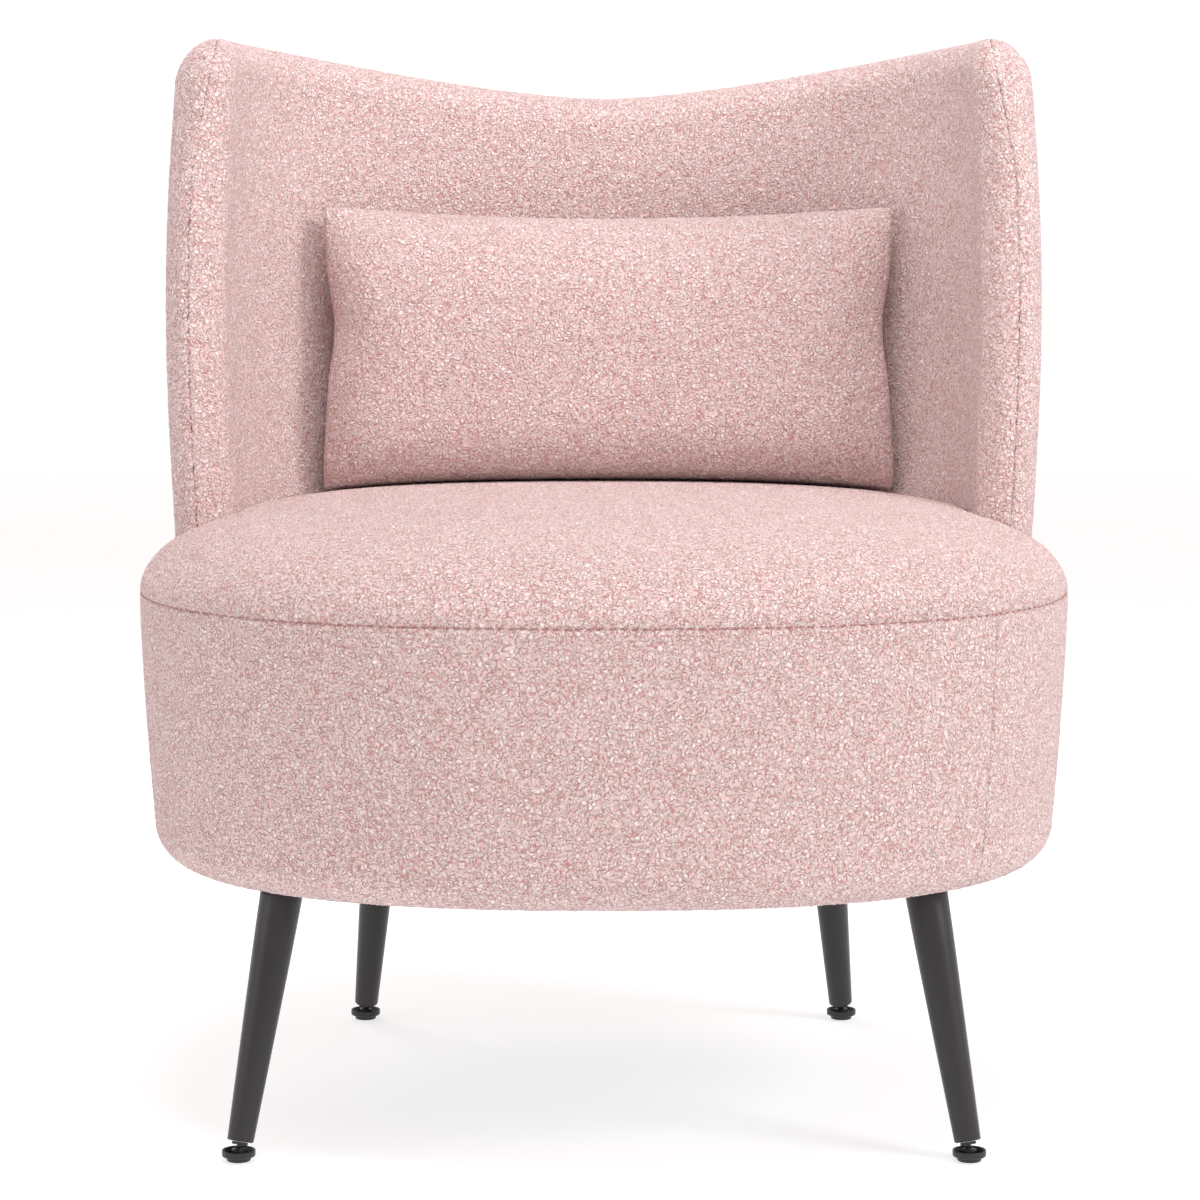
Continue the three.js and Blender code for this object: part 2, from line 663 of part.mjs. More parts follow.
function makeCover(face) {
  const front = wallSheets(0, wallFootZ);
  const back = wallSheets(CLOTH, wallFootZ);
  return face === 'outer' ? sheetBody(back.outer, front.outer, front.rows, front.columns, false)
    : sheetBody(front.inner, back.inner, front.rows, front.columns, false);
}

function makeBottomRail() {
  const railTop = wallFootZ + BOTTOM_RAIL_HEIGHT;
  const rail = wallBoard(-frameHalf, frameHalf, wallFootZ, railTop, frameInner, frameOuter);
  return cut(rail, ...BOLT_PLACES.map((share) => makeBoltHole(share, 2 * (BOLT_BITE + GAP), wallFootZ)));
}

function makeBolt() {
  const top = PLY + 2 * GAP + BOLT_BITE;
  return lathe([
    [0, -BOLT_HEAD],
    [BOLT_HEAD_RADIUS, -BOLT_HEAD],
    [BOLT_HEAD_RADIUS, 0],
    [BOLT_RADIUS, 0],
    [BOLT_RADIUS, top - 1],
    [0, top - 1],
  ], 8);
}

function addBack() {
  const railTop = wallFootZ + BOTTOM_RAIL_HEIGHT;
  const topRailFoot = (s) => frameTop(s) - TOP_RAIL_HEIGHT;
  addPiece('back_bottom_rail', makeBottomRail(), plywood);
  const topRail = wallBoard(-frameHalf, frameHalf, topRailFoot, frameTop, frameInner, frameOuter);
  addPiece('back_top_rail', topRail, plywood);
  RIB_PLACES.forEach((share, k) => {
    const middle = share * frameHalf;
    const s0 = Math.max(middle - RIB_WIDTH / 2, -frameHalf);
    const s1 = Math.min(middle + RIB_WIDTH / 2, frameHalf);
    const head = (s) => topRailFoot(s) - GAP;
    const rib = wallBoard(s0, s1, railTop + GAP, head, frameInner, frameOuter);
    addPiece(`back_rib_${k + 1}`, rib, plywood);
  });
  const panelOut = frameInner - GAP;
  const panel = wallBoard(-frameHalf, frameHalf, wallFootZ, frameTop, panelOut - BACK_PANEL, panelOut);
  addPiece('back_panel', panel, fibreboard);
  addPiece('back_foam', makeBackFoam(), foam);
  addPiece('back_inner_cover', makeCover('inner'), teddy);
  addPiece('back_outer_cover', makeCover('outer'), teddy);
  BOLT_PLACES.forEach((share, k) => {
    const [x, y] = boltPlace(share);
    addPiece(`back_bolt_${k + 1}`, makeBolt(), zincSteel).position.set(x, y, RING_BOTTOM_Z - GAP);
  });
}

// ---------- lumbar pillow ----------

// A face of the pillow at a depth below the fabric: p runs across and q up, both from -1 to 1, and side is
// -1 in front and 1 behind. The outline pulls in between the corners, and the ends bow forward into the
// curve of the back.
function pillowPoint(p, q, depth, side) {
  const x = (PILLOW_HALF_WIDTH - depth) * p - PILLOW_SIDE_PULL * p * (1 - q ** 2);
  const up = (PILLOW_HALF_HEIGHT - depth) * q - PILLOW_TOP_PULL * q * (1 - p ** 2);
  const full = Math.sqrt((1 - Math.abs(p) ** 2.6) * (1 - Math.abs(q) ** 2.2));
  const reach = side < 0 ? PILLOW_FRONT : PILLOW_REAR;
  const out = GAP / 2 + (reach - depth - GAP / 2) * full;
  const bow = PILLOW_BOW * (x / PILLOW_HALF_WIDTH) ** 2;
  const lean = Math.tan(rad(BACK_LEAN)) * up;
  return [PILLOW_CENTRE_X + x, PILLOW_CENTRE_Y - bow + lean + side * out, PILLOW_CENTRE_Z + up];
}

function pillowSheet(depth, side) {
  return (i, j) => pillowPoint(PILLOW_COLUMNS[j], PILLOW_ROWS[i], depth, side);
}

function addPillow() {
  const body = (front, back) => (
    sheetBody(front, back, PILLOW_ROWS.length - 1, PILLOW_COLUMNS.length - 1, false));
  addPiece('pillow_front_panel', body(pillowSheet(CLOTH, -1), pillowSheet(0, -1)), teddy);
  addPiece('pillow_rear_panel', body(pillowSheet(0, 1), pillowSheet(CLOTH, 1)), teddy);
  addPiece('pillow_fill', body(pillowSheet(CLOTH + GAP, 1), pillowSheet(CLOTH + GAP, -1)), foam);
}

// ---------- legs and glides ----------
const legProfile = (length) => [
  [0, length - LEG_CAP],
  [LEG_TOP_RADIUS - LEG_WALL, length - LEG_CAP],
  [LEG_END_RADIUS - LEG_WALL, LEG_END + GLIDE_PLUG],
  [STUD_RADIUS + THREAD_GAP, LEG_END + GLIDE_PLUG],
  [STUD_RADIUS + THREAD_GAP, LEG_END],
  [LEG_END_RADIUS - 1, LEG_END],
  [LEG_END_RADIUS, LEG_END + 1.2],
  [LEG_TOP_RADIUS - (LEG_TOP_RADIUS - LEG_END_RADIUS) * LEG_SQUARING / length, length - LEG_SQUARING],
  [LEG_TOP_RADIUS, length],
  [STUD_RADIUS, length],
  [STUD_RADIUS, length + LEG_STUD - 1],
  [STUD_RADIUS - 1, length + LEG_STUD],
  [0, length + LEG_STUD],
];

// A leg in its own frame, +Z from the glide's ball up the leg. Towards the head the rings turn level, so
// that the head seats flat under the seat and the stud stands upright.
function makeLeg(length, tilt) {
  const geometry = lathe(legProfile(length), 16);
  const level = tilt.clone().invert();
  const position = geometry.attributes.position;
  const point = new THREE.Vector3();
  for (let k = 0; k < position.count; k += 1) {
    point.fromBufferAttribute(position, k);
    const along = Math.min(point.z, length);
    const share = THREE.MathUtils.smoothstep(point.z, length - LEG_SQUARING, length);
    point.z -= along;
    point.applyQuaternion(new THREE.Quaternion().slerp(level, share));
    position.setXYZ(k, point.x, point.y, point.z + along);
  }
  return geometry;
}

function makeGlideStem() {
  const top = LEG_END + GLIDE_STEM;
  return lathe([
    [0, LEG_END],
    [STUD_RADIUS, LEG_END],
    [STUD_RADIUS, top - 1],
    [STUD_RADIUS - 1, top],
    [0, top],
  ], 8);
}

// The wrench flange, neck and ball that turn under the stem.
function makeGlideHex() {
  const points = [[0, -GLIDE_BALL]];
  const neckTurn = Math.PI - Math.asin(GLIDE_NECK / GLIDE_BALL);
  for (let k = 1; k <= 5; k += 1) {
    const turn = (neckTurn * k) / 5;
    points.push([GLIDE_BALL * Math.sin(turn), -GLIDE_BALL * Math.cos(turn)]);
  }
  points.push([GLIDE_NECK, GLIDE_HEX_FROM + 1], [0, GLIDE_HEX_FROM + 1]);
  const flange = new THREE.CylinderGeometry(GLIDE_HEX_RADIUS, GLIDE_HEX_RADIUS, GLIDE_HEX, 6);
  flange.rotateX(Math.PI / 2);
  flange.translate(0, 0, GLIDE_HEX_FROM + GLIDE_HEX / 2);
  return toGeometry(toSolid(lathe(points, 12)).add(toSolid(flange)));
}

// The dished foot with its socket, about the ball's centre: a flat pad below, a raised rim and a boss.
function makeGlideFoot() {
  const floor = -GLIDE_BALL_Z;
  const rim = GLIDE_DISH_RADIUS;
  const socket = GLIDE_BALL + GAP;
  const mouth = 1.7;
  const bossRadius = socket + 1.5;
  return lathe([
    [0, floor],
    [GLIDE_PAD_RADIUS - 0.6, floor],
    [GLIDE_PAD_RADIUS, floor + 0.6],
    [GLIDE_PAD_RADIUS, floor + 2.6],
    [rim - 0.9, floor + 3.2],
    [rim, floor + 4.6],
    [rim, floor + 7.8],
    [rim - 0.6, floor + 8.4],
    [rim - 1.3, floor + 8],
    [rim - 2, floor + 5.6],
    [rim - 4, floor + 4.6],
    [bossRadius, floor + 4.6],
    [bossRadius, mouth],
    [Math.sqrt(socket ** 2 - mouth ** 2), mouth],
    [socket, 0],
    [socket * 0.7071, -socket * 0.7071],
    [0, -socket],
  ], 18);
}

function addLegs() {
  LEGS.forEach((leg) => {
    const pivot = new THREE.Vector3(...leg.foot, GLIDE_BALL_Z);
    const head = new THREE.Vector3(...leg.head, LEG_TOP_Z);
    const axis = head.clone().sub(pivot);
    const tilt = new THREE.Quaternion().setFromUnitVectors(UP, axis.clone().normalize());
    const pieces = [
      addPiece(`leg_${leg.name}`, makeLeg(axis.length(), tilt), blackSteel),
      addPiece(`glide_stem_${leg.name}`, makeGlideStem(), blackSteel),
      addPiece(`glide_hex_${leg.name}`, makeGlideHex(), blackSteel),
    ];
    pieces.forEach((piece) => {
      piece.position.copy(pivot);
      piece.quaternion.copy(tilt);
    });
    addPiece(`glide_foot_${leg.name}`, makeGlideFoot(), blackPlastic).position.copy(pivot);
    addPiece(`tee_nut_${leg.name}`, makeTeeNut(), zincSteel).position.set(...leg.head, BASE_TOP_Z);
  });
}

// ---------- the chair ----------
addSeat();
addBack();
addPillow();
addLegs();

// The origin is on the floor under the middle of the chair's box.
const box = new THREE.Box3().setFromObject(chair);
chair.position.y = -(box.min.y + box.max.y) / 2;

export default chair;
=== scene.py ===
"""Upholstered lounge chair in teddy fleece: the looks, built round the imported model.

Metres, +Z up, the chair faces -Y. Every soft piece is a surface worked out on a grid of two parameters,
closed behind by a coarser sheet, then raised into pile along its normals.
"""

import json
import math

import bpy
import numpy as np
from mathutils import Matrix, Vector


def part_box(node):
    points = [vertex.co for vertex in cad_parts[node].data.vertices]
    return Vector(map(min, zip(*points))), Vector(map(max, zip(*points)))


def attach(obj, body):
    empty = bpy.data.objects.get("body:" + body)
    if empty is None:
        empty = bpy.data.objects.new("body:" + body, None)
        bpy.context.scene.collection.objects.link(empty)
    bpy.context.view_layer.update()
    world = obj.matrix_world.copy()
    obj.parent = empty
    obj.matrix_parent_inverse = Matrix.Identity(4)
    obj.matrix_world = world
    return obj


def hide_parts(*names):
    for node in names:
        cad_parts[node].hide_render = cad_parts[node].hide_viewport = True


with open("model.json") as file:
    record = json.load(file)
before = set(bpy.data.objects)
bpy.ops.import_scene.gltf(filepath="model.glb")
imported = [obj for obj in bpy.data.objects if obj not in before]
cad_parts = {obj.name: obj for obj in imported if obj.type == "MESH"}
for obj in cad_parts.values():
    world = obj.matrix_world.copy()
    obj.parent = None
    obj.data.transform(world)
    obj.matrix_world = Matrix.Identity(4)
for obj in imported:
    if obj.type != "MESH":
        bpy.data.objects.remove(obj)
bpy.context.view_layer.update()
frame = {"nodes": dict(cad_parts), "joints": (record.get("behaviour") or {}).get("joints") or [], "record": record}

MM = 0.001

# ---------------------------------------------------------------- sizes read from the frame
top_low, top_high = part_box("seat_top_cover")
band_low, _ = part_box("seat_front_band")
wall_low, wall_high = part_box("back_outer_cover")
pillow_low, pillow_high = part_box("pillow_fill")

SEAT_A = (top_high[0] - top_low[0]) / 2
SEAT_B = (top_high[1] - top_low[1]) / 2
SEAT_Y = (top_high[1] + top_low[1]) / 2
SEAM_Z = top_low[2]
CROWN_Z = top_high[2]
SEAT_BOTTOM_Z = band_low[2]
WALL_FOOT_Z = wall_low[2]
WALL_TOP_Z = wall_high[2]

# ---------------------------------------------------------------- the maker's sizes
PLAN_POWER = 2.4
DOME_POWER = 4.5
DOME_ROUND = 1.12  # its length over the crown, per length across
BAND_TAPER = 9.6 * MM
BAND_TAPER_POWER = 1.5
BOTTOM_ROUND = 30 * MM
HEM_REACH = 7 * MM
BAND_SEAM_LEFT = 201.4
BAND_SEAM_RIGHT = 319.6
SEAM_TUCK = 1.0 * MM
SEAM_ROLL = 3 * MM
STITCH_STEP = 8 * MM
STITCH_SHARE = 0.66  # of each step that the thread shows
STITCH_INSET = 0.35 * MM
STITCH_BOW = 0.9 * MM
STITCH_RADIUS = 0.4 * MM
CREASE_DEPTH = 26 * MM  # the dome's dip where the back stands on it
CREASE_START = 7 * MM
CREASE_WIDTH = 12 * MM
CUSHION_UNDER = 24 * MM  # the hidden underside of the dome's padding, below its seam
CUSHION_UNDER_SHARE = 0.97
BAND_PADDING = 9 * MM
BAND_FLOOR = 8 * MM

BACK_Y = SEAT_Y - 10 * MM
BACK_A = 320 * MM
BACK_B = 280 * MM
BACK_OUTSET = 22 * MM
BACK_INSET = 28 * MM
BACK_LEAN = math.tan(math.radians(9))
BACK_LEAN_Z = 452 * MM
BACK_BULGE = 9 * MM
BACK_BULGE_FROM_Z = 440 * MM
WING_RISE = 43 * MM
WING_RISE_POWER = 1.6
WING_FLAT_FROM = 0.86
WING_CORNER = 35 * MM
EDGE_ROUND = 26 * MM
OUTER_ROUND = 40 * MM
WING_SEAM_SHIFT = -14 * MM
WING_SEAM_LENGTH = 110 * MM
BACK_PADDING_SHARE = 0.25  # the hidden sheet's share of a face's distance from the seam line

PILE_HEIGHT = 1.1 * MM
PILE_REST = 0.45  # the pile value that leaves a point where it is
PILE_SIZE = 3.8 * MM
PILE_WARP = 1.1 * MM
PILE_WARP_SIZE = 5 * MM
CURL_STEEPNESS = 2.4
CURL_SHARE = 0.65
TUFT_SHARE = 0.45
TUFT_SIZE = 0.6 * PILE_SIZE
FINE = 2.3 * MM  # distance between a soft sheet's points
COARSE = 8  # fine steps in one step of a hidden back sheet
BEHIND = slice(None, None, COARSE)
SEAT_GATHER = 0.62  # draws the dome's grid lines together at its rim, more as it nears 1
PILLOW_GATHER = 0.86


# ---------------------------------------------------------------- noise, as whole arrays
def scramble(cells, seed):
    """A repeatable number in 0..1 for each whole-number cell: multiply, exclusive-or and shift its bits."""
    x = cells.astype(np.int64)
    h = x[..., 0] * 73856093 ^ x[..., 1] * 19349663 ^ x[..., 2] * 83492791 ^ seed * 2654435761
    h &= 0xFFFFFFFF
    h = (h ^ (h >> 15)) * 2246822519 & 0xFFFFFFFF
    h = (h ^ (h >> 13)) * 3266489917 & 0xFFFFFFFF
    return ((h ^ (h >> 16)) & 0xFFFFFF) / 0xFFFFFF


def soft_noise(points, size, seed):
    """Smooth noise in -1..1: the values at the eight corners of a point's cell, blended by smooth steps."""
    q = points / size
    cell = np.floor(q)
    t = q - cell
    t = t * t * (3 - 2 * t)
    total = 0
    for corner in np.ndindex(2, 2, 2):
        weight = np.prod(np.where(np.array(corner), t, 1 - t), axis=-1)
        total = total + weight * scramble(cell + corner, seed)
    return 2 * total - 1


def cell_noise(points, size, seed):
    """Distances, in cells, from each point to the nearest and the second nearest scattered centre."""
    q = points / size
    cell = np.floor(q)
    nearest = np.full(q.shape[:-1], 9.0)
    second = nearest.copy()
    for step in np.ndindex(3, 3, 3):
        home = cell + np.array(step) - 1
        centre = home + np.stack([scramble(home, seed + k) for k in range(3)], axis=-1)
        away = np.sqrt(((q - centre) ** 2).sum(-1))
        closer = away < nearest
        second = np.where(closer, nearest, np.minimum(second, away))
        nearest = np.where(closer, away, nearest)
    return nearest, second


def pile_height(points):
    """Teddy pile from 0 in the pits to 1 on the tips: on a warped space, a curl round each scattered centre
    that falls to 0 halfway to the next one, second distance minus first, with finer tufts on top."""
    warp = np.stack([soft_noise(points, PILE_WARP_SIZE, 11 + k) for k in range(3)], axis=-1)
    warped = points + PILE_WARP * warp
    nearest, second = cell_noise(warped, PILE_SIZE, 3)
    curls = np.clip((second - nearest) * CURL_STEEPNESS, 0, 1)
    fine, _ = cell_noise(warped, TUFT_SIZE, 23)
    return np.clip(CURL_SHARE * curls + TUFT_SHARE * (1 - fine), 0, 1)


# ---------------------------------------------------------------- meshes from arrays
def make_mesh(name, verts, faces, pile=None):
    """A mesh object at the origin from points and a list of arrays of triangles or quads."""
    mesh = bpy.data.meshes.new(name)
    mesh.vertices.add(len(verts))
    mesh.vertices.foreach_set("co", np.ascontiguousarray(verts, dtype=np.float32).ravel())
    loops = np.concatenate([f.ravel() for f in faces]).astype(np.int32)
    sizes = np.concatenate([np.full(len(f), f.shape[1]) for f in faces])
    mesh.loops.add(len(loops))
    mesh.loops.foreach_set("vertex_index", loops)
    mesh.polygons.add(len(sizes))
    mesh.polygons.foreach_set("loop_start", (np.cumsum(sizes) - sizes).astype(np.int32))
    mesh.polygons.foreach_set("use_smooth", np.ones(len(sizes), dtype=bool))
    mesh.update(calc_edges=True)
    if pile is not None:
        mesh.attributes.new("pile", "FLOAT", "POINT").data.foreach_set("value", pile.astype(np.float32))
    mesh.validate()
    piece = bpy.data.objects.new(name, mesh)
    bpy.context.scene.collection.objects.link(piece)
    return piece


def grid_quads(rows, columns, start=0, wrap=False):
    """Quads of a (rows x columns)-point grid whose first point is start."""
    index = start + np.arange(rows * columns).reshape(rows, columns)
    if wrap:
        index = np.concatenate([index, index[:, :1]], axis=1)
    return np.stack([index[:-1, :-1], index[1:, :-1], index[1:, 1:], index[:-1, 1:]], -1).reshape(-1, 4)


def rim_of(rows, columns, start=0):
    """A grid's border points in order, once round."""
    index = start + np.arange(rows * columns).reshape(rows, columns)
    return np.concatenate([index[:-1, 0], index[-1, :-1], index[:0:-1, -1], index[0, :0:-1]])


def close_form(name, sheet, back, coarse=COARSE):
    """A closed padded piece: a fine front sheet and a back sheet with one point for every coarse points of
    the front, joined round the border by fans. Its front is then raised into pile."""
    rows, columns = sheet.shape[:2]
    front = sheet.reshape(-1, 3)
    back_rows, back_columns = back.shape[:2]
    fine_rim = rim_of(rows, columns)
    coarse_rim = rim_of(back_rows, back_columns, len(front))
    here = np.repeat(coarse_rim, coarse)
    fans = np.stack([fine_rim, here, np.roll(fine_rim, -1)], -1)
    corners = np.roll(fine_rim, -coarse)[::coarse]
    joins = np.stack([coarse_rim, np.roll(coarse_rim, -1), corners], -1)
    behind = grid_quads(back_rows, back_columns, len(front))[:, ::-1]
    verts = np.concatenate([front, back.reshape(-1, 3)])
    tall = np.concatenate([pile_height(front), np.full(back_rows * back_columns, PILE_REST)])
    piece = make_mesh(name, verts, [grid_quads(rows, columns), behind, fans, joins], tall)
    raise_pile(piece, tall)
    return piece


def raise_pile(piece, tall):
    """Moves each point along the mesh's own normal by PILE_HEIGHT * (pile - PILE_REST)."""
    count = len(piece.data.vertices)
    points = np.empty(count * 3, np.float32)
    normals = np.empty(count * 3, np.float32)
    piece.data.vertices.foreach_get("co", points)
    piece.data.vertex_normals.foreach_get("vector", normals)
    raised = (PILE_HEIGHT * (tall - PILE_REST))[:, None]
    points = points.reshape(-1, 3) + normals.reshape(-1, 3) * raised
    piece.data.vertices.foreach_set("co", points.astype(np.float32).ravel())
    piece.data.update()


def gathered(count, gather):
    """count + 1 values from -1 to 1, closer together towards both ends by a sine."""
    reach = np.pi / 2 * gather
    return np.sin(np.linspace(-1, 1, count + 1) * reach) / np.sin(reach)


def steps_for(length):
    """A number of fine steps over a length that is a whole number of coarse steps."""
    return max(1, round(length / (FINE * COARSE))) * COARSE


def even_path(points, count):
    """count + 1 points spaced evenly along a polyline given as an array of rows."""
    along = np.concatenate([[0], np.cumsum(np.linalg.norm(np.diff(points, axis=0), axis=1))])
    at = np.linspace(0, along[-1], count + 1)
    return np.stack([np.interp(at, along, points[:, k]) for k in range(points.shape[1])], -1)


def path_length(points):
    """A polyline's length."""
    return np.linalg.norm(np.diff(points, axis=0), axis=1).sum()


# ---------------------------------------------------------------- finishes
def new_finish(name):
    """A named material, its Principled shader and a helper that adds a node with its settings."""
    finish = bpy.data.materials.new(name)
    finish.use_nodes = True
    tree = finish.node_tree
    shader = tree.nodes["Principled BSDF"]

    def add(kind, links=None, **settings):
        node = tree.nodes.new(kind)
        for key, value in settings.items():
            if key in node.inputs:
                node.inputs[key].default_value = value
            else:
                setattr(node, key, value)
        for key, source in (links or {}).items():
            tree.links.new(source, node.inputs[key])
        return node

    return finish, shader, add


def ramp(add, source, stops):
    """A colour ramp with stops of (place, colour)."""
    node = add("ShaderNodeValToRGB", {"Fac": source})
    elements = node.color_ramp.elements
    elements[0].position, elements[0].color = stops[0][0], (*stops[0][1], 1)
    elements[1].position, elements[1].color = stops[-1][0], (*stops[-1][1], 1)
    for place, colour in stops[1:-1]:
        elements.new(place).color = (*colour, 1)
    return node.outputs["Color"]


def link(finish, output, shader, socket):
    """Joins a node's output to one of the shader's sockets."""
    finish.node_tree.links.new(output, shader.inputs[socket])


# pile colours from pit to tip: the deep rose of the pits is painted shade and the pale tips are a painted
# highlight
FLEECE_TONES_PAINTED_SHADE_AND_HIGHLIGHT = [
    (0.08, (0.55, 0.21, 0.19)),
    (0.34, (0.76, 0.47, 0.44)),
    (0.58, (0.86, 0.67, 0.655)),
    (0.90, (0.93, 0.85, 0.84)),
]


def fleece_finish():
    """Curly pile: warped cells 3 mm across, cut by winding furrows and broken up by finer fibres. The colour
    follows the heights, deep rose in the pits as painted shade and pale on the tips as a painted highlight; the
    same heights drive the bump, and a faint sheen lies over all."""
    finish, shader, add = new_finish("teddy_fleece_finish")
    place = add("ShaderNodeTexCoord").outputs["Object"]
    pile = add("ShaderNodeAttribute", attribute_name="pile").outputs["Fac"]
    swirl = add("ShaderNodeTexNoise", {"Vector": place}, Scale=260.0, Detail=1.0)
    centred = add("ShaderNodeVectorMath", {0: swirl.outputs["Color"]}, operation="SUBTRACT")
    centred.inputs[1].default_value = (0.5, 0.5, 0.5)
    reach = add("ShaderNodeVectorMath", {0: centred.outputs[0]}, operation="SCALE")
    reach.inputs["Scale"].default_value = 0.0042
    warped = add("ShaderNodeVectorMath", {0: place, 1: reach.outputs[0]}, operation="ADD").outputs[0]
    curl = add("ShaderNodeTexVoronoi", {"Vector": warped}, feature="DISTANCE_TO_EDGE", Scale=330.0)
    lump = add("ShaderNodeMapRange", {"Value": curl.outputs["Distance"]}, interpolation_type="SMOOTHSTEP")
    lump.inputs["From Max"].default_value = 0.30
    worm = add("ShaderNodeTexNoise", {"Vector": warped}, Scale=290.0, Detail=1.0, Roughness=0.4)
    split = add("ShaderNodeMath", {0: worm.outputs["Fac"]}, operation="SUBTRACT")
    split.inputs[1].default_value = 0.5
    ridge = add("ShaderNodeMath", {0: split.outputs[0]}, operation="ABSOLUTE")
    furrow = add("ShaderNodeMapRange", {"Value": ridge.outputs[0]}, interpolation_type="SMOOTHSTEP")
    furrow.inputs["From Max"].default_value = 0.075
    fibre = add("ShaderNodeTexNoise", {"Vector": warped}, Scale=1300.0, Detail=1.0)
    coarse = blend(add, lump.outputs[0], 0.42, furrow.outputs[0], 0.38, -0.06)
    tuft = blend(add, coarse, 1.0, fibre.outputs["Fac"], 0.34, -0.06)
    height = blend(add, pile, 0.22, tuft, 0.92, -0.10)
    # the pile heights pick the colour, painting shade into the pits and a highlight onto the tips
    link(finish, ramp(add, height, FLEECE_TONES_PAINTED_SHADE_AND_HIGHLIGHT), shader, "Base Color")
    bump = add("ShaderNodeBump", {"Height": tuft}, Strength=1.0, Distance=0.0021)
    link(finish, bump.outputs["Normal"], shader, "Normal")
    shader.inputs["Roughness"].default_value = 0.9
    shader.inputs["Specular IOR Level"].default_value = 0.1
    shader.inputs["Sheen Weight"].default_value = 0.45
    shader.inputs["Sheen Roughness"].default_value = 0.75
    shader.inputs["Sheen Tint"].default_value = (1.0, 0.98, 0.98, 1.0)
    return finish


def blend(add, first, first_share, second, second_share, offset):
    """first * first_share + second * second_share + offset."""
    part = add("ShaderNodeMath", {0: second}, operation="MULTIPLY_ADD")
    part.inputs[1].default_value, part.inputs[2].default_value = second_share, offset
    whole = add("ShaderNodeMath", {0: first, 2: part.outputs[0]}, operation="MULTIPLY_ADD")
    whole.inputs[1].default_value = first_share
    return whole.outputs[0]


def speckled_finish(
    name, dark, pale, scale, roughness, metallic=0.0, stretch=(1, 1, 1), bump=0.0002, strength=0.3
):
    """A finish of two close tones in a noise stretched along an axis, which also drives its bump."""
    finish, shader, add = new_finish(name)
    place = add("ShaderNodeTexCoord").outputs["Object"]
    mapped = add("ShaderNodeMapping", {"Vector": place}, Scale=stretch)
    grain = add("ShaderNodeTexNoise", {"Vector": mapped.outputs[0]}, Scale=scale, Detail=6.0, Roughness=0.6)
    link(finish, ramp(add, grain.outputs["Fac"], [(0.3, dark), (0.7, pale)]), shader, "Base Color")
    rough = add("ShaderNodeMapRange", {"Value": grain.outputs["Fac"]})
    rough.inputs["To Min"].default_value = roughness - 0.06
    rough.inputs["To Max"].default_value = roughness + 0.06
    link(finish, rough.outputs[0], shader, "Roughness")
    bumped = add("ShaderNodeBump", {"Height": grain.outputs["Fac"]}, Strength=strength, Distance=bump)
    link(finish, bumped.outputs["Normal"], shader, "Normal")
    shader.inputs["Metallic"].default_value = metallic
    return finish


TEDDY = fleece_finish()
BLACK_STEEL = speckled_finish(
    "powder_coated_steel", (0.012, 0.0105, 0.0105), (0.019, 0.017, 0.0165), 900, 0.36
)
ZINC_STEEL = speckled_finish("zinc_plated_steel", (0.42, 0.42, 0.43), (0.56, 0.57, 0.58), 300, 0.35, 1.0)
SPRING_STEEL = speckled_finish("oiled_spring_wire", (0.22, 0.22, 0.24), (0.36, 0.37, 0.39), 260, 0.4, 1.0)
GLIDE_PLASTIC = speckled_finish(
    "black_glide_plastic", (0.009, 0.009, 0.0095), (0.016, 0.016, 0.017), 500, 0.42
)
PLYWOOD = speckled_finish(
    "birch_plywood", (0.50, 0.33, 0.17), (0.68, 0.50, 0.30), 40, 0.62, stretch=(1, 6, 8), bump=0.0004
)
FIBREBOARD = speckled_finish("hardboard", (0.20, 0.11, 0.055), (0.31, 0.185, 0.10), 420, 0.75)
FELT = speckled_finish(
    "needled_felt", (0.17, 0.155, 0.145), (0.36, 0.34, 0.32), 700, 0.95, bump=0.0009, strength=0.7
)
FOAM = speckled_finish(
    "cut_foam", (0.72, 0.66, 0.46), (0.88, 0.83, 0.64), 900, 0.9, bump=0.0007, strength=0.7
)
DUST_CLOTH = speckled_finish(
    "bonded_dust_cloth", (0.010, 0.010, 0.011), (0.035, 0.035, 0.037), 650, 0.85, bump=0.0003, strength=0.6
)
SEWING_THREAD = speckled_finish("sewing_thread", (0.40, 0.15, 0.14), (0.52, 0.23, 0.21), 500, 0.8)
SLOT_FINISH = {
    "black_steel": BLACK_STEEL, "zinc_steel": ZINC_STEEL, "spring_steel": SPRING_STEEL, "plywood": PLYWOOD,
    "glide_plastic": GLIDE_PLASTIC, "fibreboard": FIBREBOARD, "felt": FELT, "foam": FOAM,
    "dust_cloth": DUST_CLOTH, "teddy_fleece": TEDDY, "pillow_filling": FOAM,
}


# ---------------------------------------------------------------- the seat's oval
def oval(a, b, degrees):
    """The superellipse point at an angle: each axis times the cosine or sine to the power 2 / n."""
    turn = np.radians(degrees)
    c, s = np.cos(turn), np.sin(turn)
    power = 2 / PLAN_POWER
    return a * np.sign(c) * np.abs(c) ** power, b * np.sign(s) * np.abs(s) ** power


def oval_share(x, y, a, b):
    """1 on the superellipse with half axes a and b, 0 at its centre."""
    return (np.abs(x / a) ** PLAN_POWER + np.abs(y / b) ** PLAN_POWER) ** (1 / PLAN_POWER)


# ---------------------------------------------------------------- the back's curved space
def wall_table():
    """The seam line in plan and its outward normal against the length from the middle of the back."""
    x, y = oval(BACK_A, BACK_B, np.linspace(180, 0, 2881))
    along = np.concatenate([[0], np.cumsum(np.hypot(np.diff(x), np.diff(y)))])
    even = np.linspace(0, along[-1], 1201)
    x, y = np.interp(even, along, x), np.interp(even, along, y)
    tx, ty = np.gradient(x), np.gradient(y)
    kernel = np.ones(9) / 9
    tx[4:-4], ty[4:-4] = np.convolve(tx, kernel, "valid"), np.convolve(ty, kernel, "valid")
    size = np.hypot(tx, ty)
    return even - along[-1] / 2, x, y, -ty / size, tx / size


WALL_S, WALL_X, WALL_Y, WALL_NX, WALL_NY = wall_table()
WALL_HALF = WALL_S[-1]


